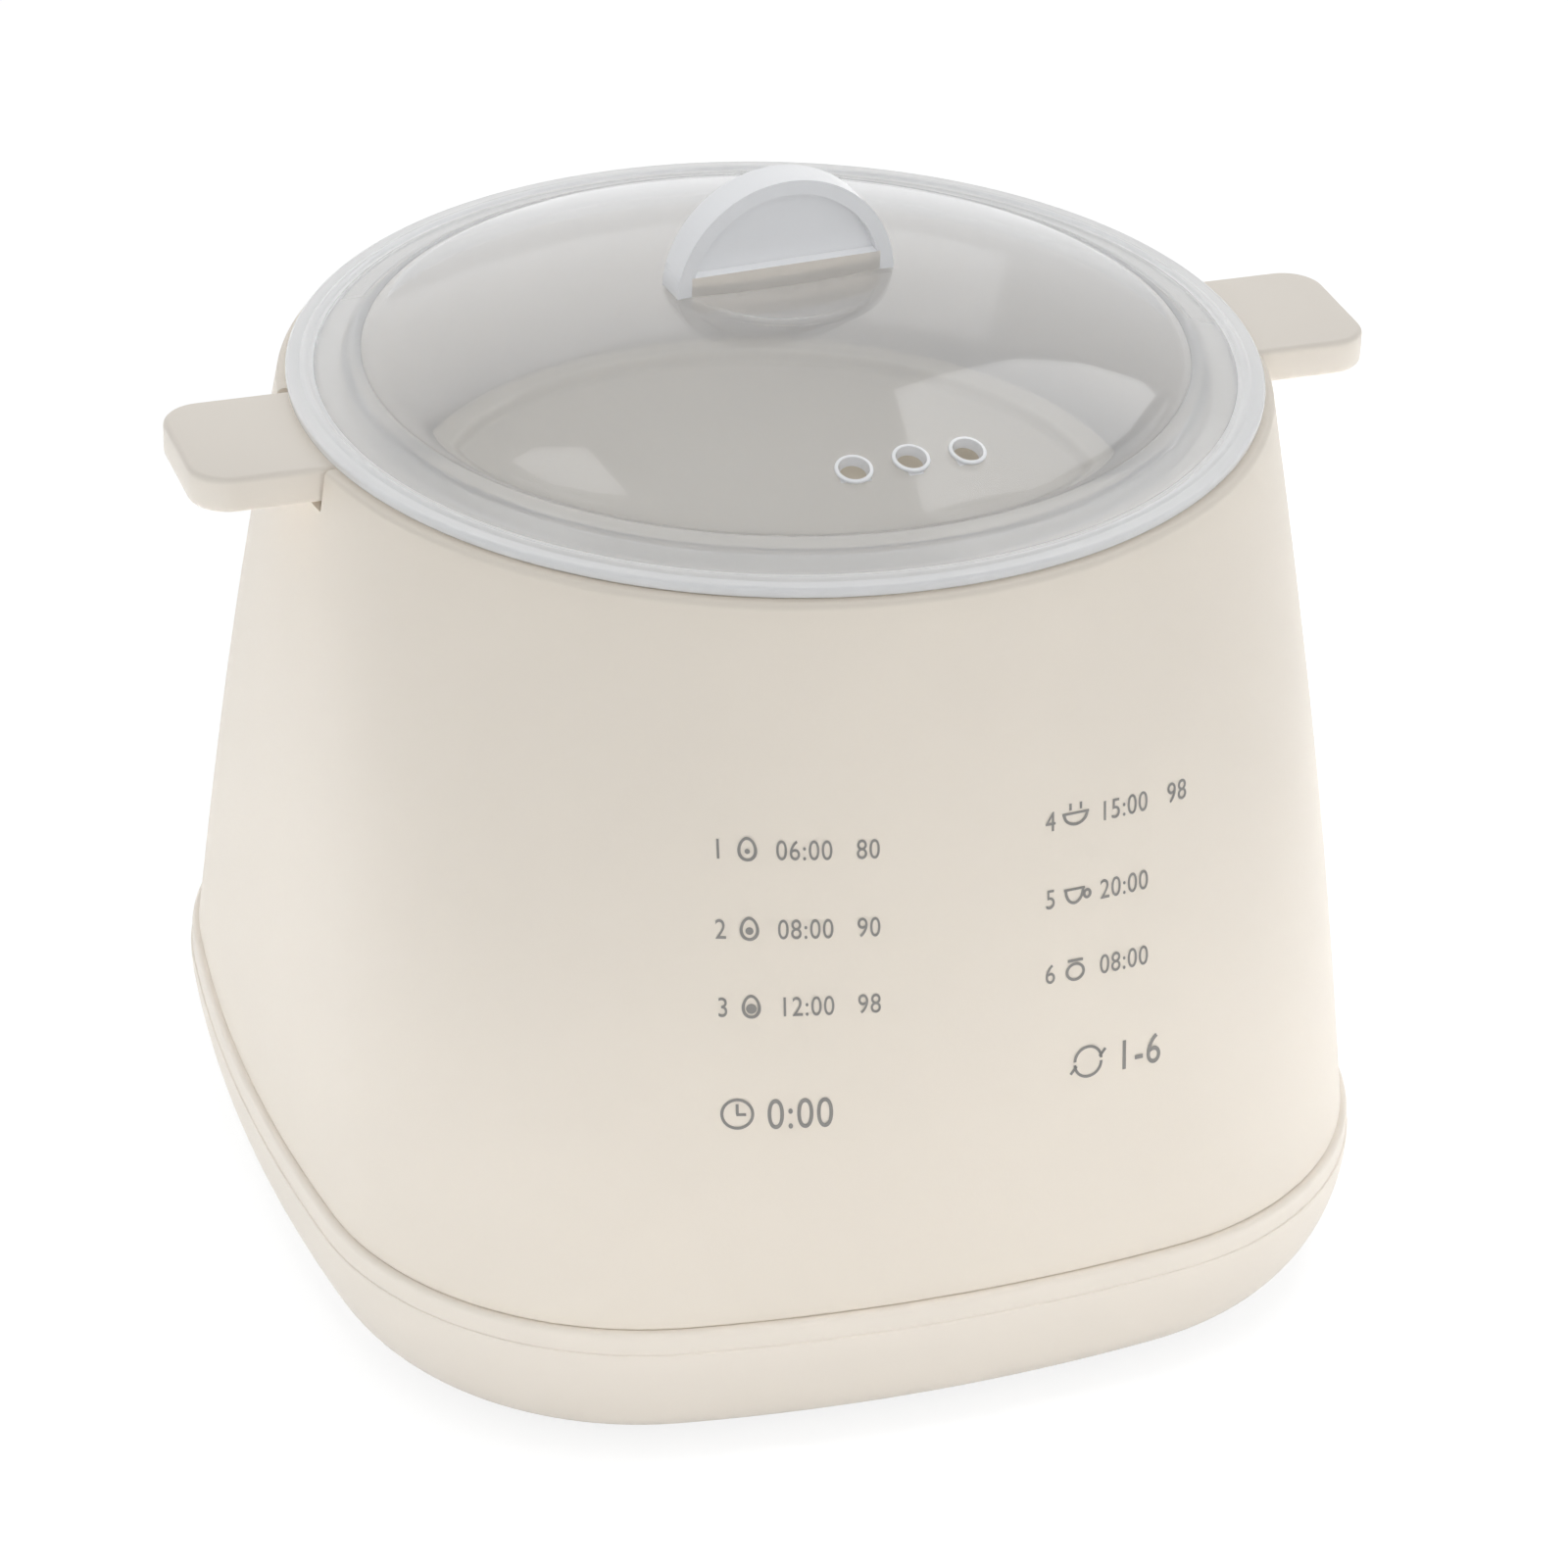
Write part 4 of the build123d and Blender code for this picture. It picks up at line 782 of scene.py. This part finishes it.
clearPlastic = plastic("clearPlastic", (0.96, 0.97, 0.985), 0.82, 0.02, 0.05)
milkyPlastic = plastic("milkyPlastic", (0.98, 0.985, 0.99), 0.5, 0.3, 0.34, 1.0)
# the grip's foot band is tinted cream: painted refraction of the cream basket seen through it, made
# lighter as painted light against the shade under the grip
paintedRefractionPlastic = plastic("paintedRefractionPlastic", (0.97, 0.92, 0.85), 0.5, 0.3, 0.34)
gripPlastic = plastic("gripPlastic", (0.98, 0.985, 1.0), 0.1, 0.31, 0.35, 1.0)
shoulderPlastic = plastic("shoulderPlastic", (0.975, 0.98, 0.985), 0.68, 0.17, 0.21)
clearLid = makeLid()
finishPiece(clearLid, clearPlastic, "lid", "clear_lid", 32, "lid")
for material in (milkyPlastic, paintedRefractionPlastic, gripPlastic, shoulderPlastic):
    clearLid.data.materials.append(material)
flatArea = 4 * mm**2
for face in clearLid.data.polygons:
    face.material_index = lidSlot(face)
    # the grip's broad faces are flat and meet small round ones
    if face.material_index in (2, 3) and face.area > flatArea:
        face.use_smooth = False
print("lid made")

# the marks on the front: numerals and plain pictograms, printed on the wall; each row's
# place is its left end, and rise is how much it climbs to the right
marks = {
    "stroke": 0.46, "lift": 0.03, "thickness": 0.04, "start": 120, "eggTaper": 0.28,
    "rowText": 3.3, "keyText": 5.2, "narrow": 0.8, "letterScale": 1.38, "letterSpace": 1.08,
    "leftX": -35.6, "leftZ": (105.7, 92.9, 80.2), "leftRise": -0.065,
    "rightX": 16.6, "rightZ": (103.9, 91.1, 78.6), "rightRise": -0.03,
    "keyZ": 62.4, "rightKeyX": 21.4,
}
markInk = dressing("markInk", (0.27, 0.26, 0.245), 0.55, 0.03, 300, 2500, 0.004)


def flatCircle(x, z, width, height, filled=False):
    bpy.ops.object.select_all(action="DESELECT")
    bpy.ops.mesh.primitive_circle_add(
        vertices=40, radius=0.5 * mm, fill_type="NGON" if filled else "NOTHING",
        location=(x * mm, 0, z * mm), rotation=(pi / 2, 0, 0))
    obj = bpy.context.object
    obj.scale = (width, height, 1)
    settle(obj)
    return obj


def flatRing(x, z, width, height):
    # a line drawn round a circle or an egg
    obj = flatCircle(x, z, width, height)
    toEdit(obj)
    bpy.ops.mesh.select_all(action="SELECT")
    bpy.ops.mesh.extrude_edges_move()
    shrink = (1 - 2 * marks["stroke"] / width, 1, 1 - 2 * marks["stroke"] / height)
    bpy.ops.transform.resize(value=shrink, center_override=(x * mm, 0, z * mm))
    toObject()
    return obj


def flatEgg(x, z, width, height):
    # a drawn ring that narrows towards the top
    obj = flatRing(x, z, width, height)
    for vert in obj.data.vertices:
        rise = (vert.co.z / mm - z) / height
        vert.co.x = (x + (vert.co.x / mm - x) * (1 - marks["eggTaper"] * rise)) * mm
    return obj


def flatBar(x, z, width, height, lean=0.0):
    # a plain stroke, leaning by an angle about its middle
    bpy.ops.object.select_all(action="DESELECT")
    bpy.ops.mesh.primitive_grid_add(x_subdivisions=4, y_subdivisions=4, size=mm,
                                    location=(x * mm, 0, z * mm), rotation=(pi / 2, 0, 0))
    obj = bpy.context.object
    obj.scale = (width, height, 1)
    settle(obj)
    pivot = Vector((x * mm, 0, z * mm))
    obj.data.transform(Matrix.Translation(pivot) @ Matrix.Rotation(radians(lean), 4, "Y")
                       @ Matrix.Translation(-pivot))
    return obj


def flatHalf(x, z, width, height, keepLow=True):
    # half a drawn ring, cut along its middle
    obj = flatRing(x, z, width, height)
    toEdit(obj)
    bpy.ops.mesh.select_all(action="SELECT")
    bpy.ops.mesh.bisect(plane_co=(0, 0, z * mm), plane_no=(0, 0, 1),
                        clear_outer=keepLow, clear_inner=not keepLow)
    toObject()
    return obj


def flatText(words, x, z, size):
    bpy.ops.object.select_all(action="DESELECT")
    bpy.ops.object.text_add()
    obj = bpy.context.object
    obj.data.body = words
    obj.data.size = size * marks["letterScale"] * mm
    obj.data.space_character = marks["letterSpace"]
    bpy.ops.object.convert(target="MESH")
    obj = bpy.context.object
    obj.scale = (marks["narrow"], 1, 1)
    obj.rotation_euler = (pi / 2, 0, 0)
    obj.location = (x * mm, 0, (z - size / 2) * mm)
    settle(obj)
    return obj


def placeRow(parts, x, z, rise):
    # brings a row drawn about the origin to its place
    move = Matrix(((1, 0, 0, x * mm), (0, 1, 0, 0), (rise, 0, 1, z * mm), (0, 0, 0, 1)))
    for part in parts:
        part.data.transform(move)
    return parts


def eggPictogram(x, yolk):
    return [flatEgg(x, 0, 2.9, 3.9), flatCircle(x, -0.35, yolk, yolk, True)]


def bowlPictogram(x):
    parts = [flatHalf(x, 0.5, 4.4, 3.9), flatBar(x, 0.6, 4.6, 0.38)]
    return parts + [flatBar(x + side, 1.7, 0.38, 1.1) for side in (-0.9, 0.9)]


def cupPictogram(x):
    return [flatHalf(x, 0.8, 3.4, 4.8), flatBar(x, 0.9, 3.6, 0.38),
            flatRing(x + 2.2, -0.2, 1.5, 1.7)]


def jarPictogram(x):
    return [flatRing(x, -0.4, 3.3, 3.1), flatBar(x, 1.5, 2.6, 0.45)]


def numberRow(numeral, pictogram, figures, more):
    size = marks["rowText"]
    parts = [flatText(numeral, 0, 0, size), flatText(figures, 9.4, 0, size)] + pictogram
    return parts + ([flatText(more, 21.6, 0, size)] if more else [])


def clockKey():
    return [flatRing(2.7, 0, 5.2, 5.2), flatBar(2.7, 0.8, 0.45, 1.7),
            flatBar(3.3, -0.1, 1.5, 0.45), flatText("0:00", 7.2, 0, marks["keyText"])]


def ringKey():
    # a ring of two arrows and the row numbers
    return [flatHalf(2.7, -0.25, 5.0, 5.0), flatHalf(2.7, 0.25, 5.0, 5.0, False),
            flatBar(5.2, 1.1, 0.45, 1.6, 40), flatBar(0.2, -1.1, 0.45, 1.6, 40),
            flatText("1-6", 7.6, 0, marks["keyText"])]


def makeMarks():
    left = [numberRow("1", eggPictogram(5.2, 0.8), "06:00", "80"),
            numberRow("2", eggPictogram(5.2, 1.2), "08:00", "90"),
            numberRow("3", eggPictogram(5.2, 1.6), "12:00", "98")]
    right = [numberRow("4", bowlPictogram(5.2), "15:00", "98"),
             numberRow("5", cupPictogram(5.0), "20:00", ""),
             numberRow("6", jarPictogram(5.2), "08:00", "")]
    parts = []
    for rows, x, heights, rise in ((left, marks["leftX"], marks["leftZ"], marks["leftRise"]),
                                   (right, marks["rightX"], marks["rightZ"], marks["rightRise"])):
        for row, z in zip(rows, heights):
            parts += placeRow(row, x, z, rise)
    parts += placeRow(clockKey(), marks["leftX"], marks["keyZ"], marks["leftRise"])
    parts += placeRow(ringKey(), marks["rightKeyX"], marks["keyZ"], marks["rightRise"])
    selectOnly(*parts)
    bpy.ops.object.join()
    piece = named("frontMarks")
    # pressed from in front onto the wall, and then given a thickness
    piece.data.transform(Matrix.Translation((0, -marks["start"] * mm, 0)))
    toEdit(piece)
    bpy.ops.mesh.select_all(action="SELECT")
    bpy.ops.mesh.quads_convert_to_tris()
    bpy.ops.mesh.normals_make_consistent(inside=False)
    toObject()
    wrap = piece.modifiers.new("wrap", "SHRINKWRAP")
    wrap.target = housingShell
    wrap.wrap_method = "PROJECT"
    wrap.use_project_y = True
    wrap.use_positive_direction = True
    wrap.use_negative_direction = False
    applyModifiers(piece)
    piece.data.transform(Matrix.Translation((0, -(marks["lift"] + marks["thickness"]) * mm, 0)))
    solid = piece.modifiers.new("solid", "SOLIDIFY")
    solid.thickness = marks["thickness"] * mm
    solid.offset = 0
    applyModifiers(piece)
    toEdit(piece)
    bpy.ops.mesh.select_all(action="SELECT")
    bpy.ops.mesh.normals_make_consistent(inside=False)
    toObject()
    finishPiece(piece, markInk, "housing", "cream_shell", 30)


makeMarks()
print("marks made")

# what stays as it comes from the frame gets its own finish
innerFinishes = (
    (dressing("screwSteel", (0.60, 0.60, 0.60), 0.30, 0.05, 200, 2500, 0.01, 1.0),
     ("base_screws", "shield_screws", "board_screws", "control_screws", "inlet_screws")),
    (dressing("castAluminium", (0.75, 0.75, 0.75), 0.42, 0.04, 60, 700, 0.03, 1.0),
     ("heat_plate", "temperature_sensor", "thermal_fuse")),
    (dressing("dullSteel", (0.35, 0.35, 0.36), 0.45, 0.08, 90, 1200, 0.02, 1.0),
     ("heating_element",)),
    (dressing("galvanisedSheet", (0.66, 0.66, 0.67), 0.36, 0.10, 120, 1500, 0.01, 1.0),
     ("heat_shield", "fuse_clip")),
    (dressing("footRubber", (0.20, 0.195, 0.185), 0.75, 0.05, 80, 1500, 0.05),
     ("foot_front_left", "foot_front_right", "foot_rear_left", "foot_rear_right")),
    (dressing("silicone", (0.75, 0.74, 0.72), 0.55, 0.02, 50, 1200, 0.02), ("pot_seal",)),
    (dressing("boardGreen", (0.05, 0.22, 0.09), 0.38, 0.12, 150, 2200, 0.02),
     ("power_board", "control_board")),
    (dressing("blackPlastic", (0.028, 0.028, 0.03), 0.42, 0.10, 120, 1600, 0.03),
     ("relay", "capacitors", "buzzer", "inlet_socket")),
    (dressing("whitePlastic", (0.78, 0.78, 0.76), 0.45, 0.03, 90, 1600, 0.02),
     ("terminal_block", "led_display", "ribbon_cable")),
    (dressing("yellowTape", (0.75, 0.58, 0.12), 0.50, 0.08, 100, 1400, 0.03), ("transformer",)),
    (dressing("copper", (0.80, 0.48, 0.30), 0.30, 0.08, 120, 1800, 0.01, 1.0), ("touch_pads",)),
    (dressing("brass", (0.78, 0.65, 0.35), 0.25, 0.05, 150, 2000, 0.008, 1.0), ("inlet_pins",)),
    (dressing("leadSleeve", (0.55, 0.10, 0.06), 0.60, 0.10, 300, 2500, 0.04),
     ("mains_leads", "heater_leads")),
)
for material, nodeNames in innerFinishes:
    for nodeName in nodeNames:
        dress(nodes[nodeName], material)
print("inner parts dressed")

# floor and sky: what is seen of them is blended with an even glow, and what they throw on the
# object is their own light
studio = {"floorSize": 8.0, "floorColour": (0.92, 0.92, 0.92, 1), "floorRoughness": 0.9,
          "floorGlow": 1.12, "glowShare": 0.75, "skyColour": (0.97, 0.985, 1.0, 1),
          "skyStrength": 0.62, "seenSky": (1, 1, 1, 1)}
bpy.ops.object.select_all(action="DESELECT")
bpy.ops.mesh.primitive_plane_add(size=studio["floorSize"])
floor = named("studioFloor")
floorFinish, floorTree, floorShader = newFinish("paleFloor")
floorShader.inputs["Base Color"].default_value = studio["floorColour"]
floorShader.inputs["Roughness"].default_value = studio["floorRoughness"]
floorShader.inputs["Specular IOR Level"].default_value = 0.0


def compute(tree, operation, first, second):
    # a maths node on a link and on another link or a number
    node = tree.nodes.new("ShaderNodeMath")
    node.operation = operation
    tree.links.new(first, node.inputs[0])
    if isinstance(second, float):
        node.inputs[1].default_value = second
    else:
        tree.links.new(second, node.inputs[1])
    return node.outputs["Value"]


def seenShare(tree, share):
    # the share where a ray comes from the camera, off a glossy surface or through the lid, with
    # no diffuse turn on its way, and 0 elsewhere
    rays = tree.nodes.new("ShaderNodeLightPath").outputs
    seen = compute(tree, "MAXIMUM", rays["Is Camera Ray"], rays["Is Glossy Ray"])
    seen = compute(tree, "MAXIMUM", seen, rays["Is Transmission Ray"])
    direct = compute(tree, "LESS_THAN", rays["Diffuse Depth"], 0.5)
    return compute(tree, "MULTIPLY", compute(tree, "MULTIPLY", seen, direct), share)


glow = floorTree.nodes.new("ShaderNodeEmission")
glow.inputs["Strength"].default_value = studio["floorGlow"]
blendShaders(floorTree, seenShare(floorTree, studio["glowShare"]), floorShader.outputs["BSDF"],
             glow.outputs["Emission"], "Material Output")
dress(floor, floorFinish)

world = bpy.data.worlds.new("studioSky")
bpy.context.scene.world = world
world.use_nodes = True
skyTree = world.node_tree
sky = skyTree.nodes["Background"]
sky.inputs["Color"].default_value = studio["skyColour"]
sky.inputs["Strength"].default_value = studio["skyStrength"]
clean = skyTree.nodes.new("ShaderNodeBackground")
clean.inputs["Color"].default_value = studio["seenSky"]
clean.inputs["Strength"].default_value = 1.0
blendShaders(skyTree, seenShare(skyTree, 1.0), sky.outputs["Background"],
             clean.outputs["Background"], "World Output")

# lamps: sizes and distances are in metres, bearings turn from the back towards the right, and
# heights are angles above the lid
boxAim = Vector((0, 0, 0.13))
snootAim = Vector((0, 0, 0.165))


def toward(bearing, height):
    turn, lift = radians(bearing), radians(height)
    return Vector((sin(turn) * cos(lift), cos(turn) * cos(lift), sin(lift)))


def hangLamp(name, kind, place):
    # a lamp that is itself seen neither by the camera nor in a mirroring
    lamp = bpy.data.lights.new(name, kind)
    obj = bpy.data.objects.new(name, lamp)
    bpy.context.scene.collection.objects.link(obj)
    obj.location = place
    obj.visible_camera = False
    obj.visible_glossy = False
    return obj


def sizeLamp(lamp, width, tall, strength):
    # strength is the lamp's power for its area
    lamp.shape = "RECTANGLE"
    lamp.size = width
    lamp.size_y = tall
    lamp.energy = strength * pi * width * tall


def addLamp(name, bearing, height, distance, width, tall, strength):
    offset = toward(bearing, height)
    obj = hangLamp(name, "AREA", boxAim + offset * distance)
    obj.rotation_euler = offset.to_track_quat("Z", "Y").to_euler()
    sizeLamp(obj.data, width, tall, strength)


def addSnoot(name, bearing, height, distance, cone, radius, power):
    # a snooted lamp whose beam reaches the lid and little else
    offset = toward(bearing, height)
    obj = hangLamp(name, "SPOT", snootAim + offset * distance)
    obj.rotation_euler = offset.to_track_quat("Z", "Y").to_euler()
    obj.data.spot_size = radians(cone)
    obj.data.spot_blend = 0.5
    obj.data.shadow_soft_size = radius
    obj.data.energy = power


def addFloorLamp(name, x, y, width, deep, strength, colour):
    # a narrow beam that lights the floor beside the object, which throws it back up
    obj = hangLamp(name, "AREA", (x, y, 0.3))
    sizeLamp(obj.data, width, deep, strength)
    obj.data.spread = radians(40)
    obj.data.color = colour


def addSoftBox(name, bearing, height, distance, strength, corners):
    # a cut softbox; corners are in its own plane, seen from the lid, in millimetres
    bpy.ops.object.select_all(action="DESELECT")
    bpy.ops.mesh.primitive_circle_add(vertices=len(corners), radius=0.1, fill_type="NGON")
    obj = named(name)
    offset = toward(bearing, height)
    side = Vector((0, 0, 1)).cross(offset).normalized()
    rise = offset.cross(side)
    middle = boxAim + offset * distance
    for vert, (x, y) in zip(obj.data.vertices, corners):
        vert.co = middle + side * x * mm + rise * y * mm
    finish, tree = newFinish(name + "Cloth")[:2]
    light = tree.nodes.new("ShaderNodeEmission")
    light.inputs["Strength"].default_value = strength
    tree.links.new(light.outputs["Emission"], tree.nodes["Material Output"].inputs["Surface"])
    dress(obj, finish)
    obj.visible_camera = False


addSoftBox("backRightBox", 38, 41, 1.2, 1.95, (
    (69, 160), (3, -20), (-31, -129), (-94, -238), (-162, -299), (-197, -278), (-249, -85),
    (-268, 48), (-264, 278), (-140, 545), (-101, 488)))
addSoftBox("backLeftBox", -18, 60, 1.2, 1.8, (
    (-5, -179), (-54, -176), (-108, -93), (-60, 96), (-24, 42), (6, -50)))
addLamp("backBox", 0, 25, 1.2, 1.4, 0.6, 0.82)
addLamp("topBox", 0, 90, 1.1, 1.2, 1.2, 0.1)
addSnoot("lidSnoot", 155, 40, 1.2, 10, 0.06, 5.0)
addFloorLamp("leftStrip", -0.22, 0.0, 0.14, 0.45, 1.75, (0.98, 0.99, 1.0))
addFloorLamp("rightStrip", 0.22, 0.0, 0.14, 0.45, 3.05, (1.0, 1.0, 1.0))
addFloorLamp("frontStrip", 0.0, -0.2, 0.5, 0.14, 1.26, (1.0, 0.975, 0.94))
print("floor and lamps set")

# the camera: angles in degrees, lengths in metres but for the lens and its sensor
lens = {"focal": 134.19, "sensor": 36, "distance": 0.9703, "height": 29.85, "bearing": -19.41,
        "roll": 1.76, "aside": 0.00335, "aimZ": 0.0674}
turn, lift, roll = (radians(lens[key]) for key in ("bearing", "height", "roll"))
backward = Vector((sin(turn) * cos(lift), -cos(turn) * cos(lift), sin(lift)))
level = Vector((cos(turn), sin(turn), 0))
upward = backward.cross(level)
across = level * cos(roll) + upward * sin(roll)
rising = upward * cos(roll) - level * sin(roll)
target = level * lens["aside"] + Vector((0, 0, lens["aimZ"]))
cameraData = bpy.data.cameras.new("camera")
cameraData.lens = lens["focal"]
cameraData.sensor_width = lens["sensor"]
camera = bpy.data.objects.new("camera", cameraData)
bpy.context.scene.collection.objects.link(camera)
turned = Matrix((across, rising, backward)).transposed().to_4x4()
camera.matrix_world = Matrix.Translation(target + backward * lens["distance"]) @ turned
bpy.context.scene.camera = camera
bpy.context.scene.view_settings.view_transform = "Standard"

print("scene ready")
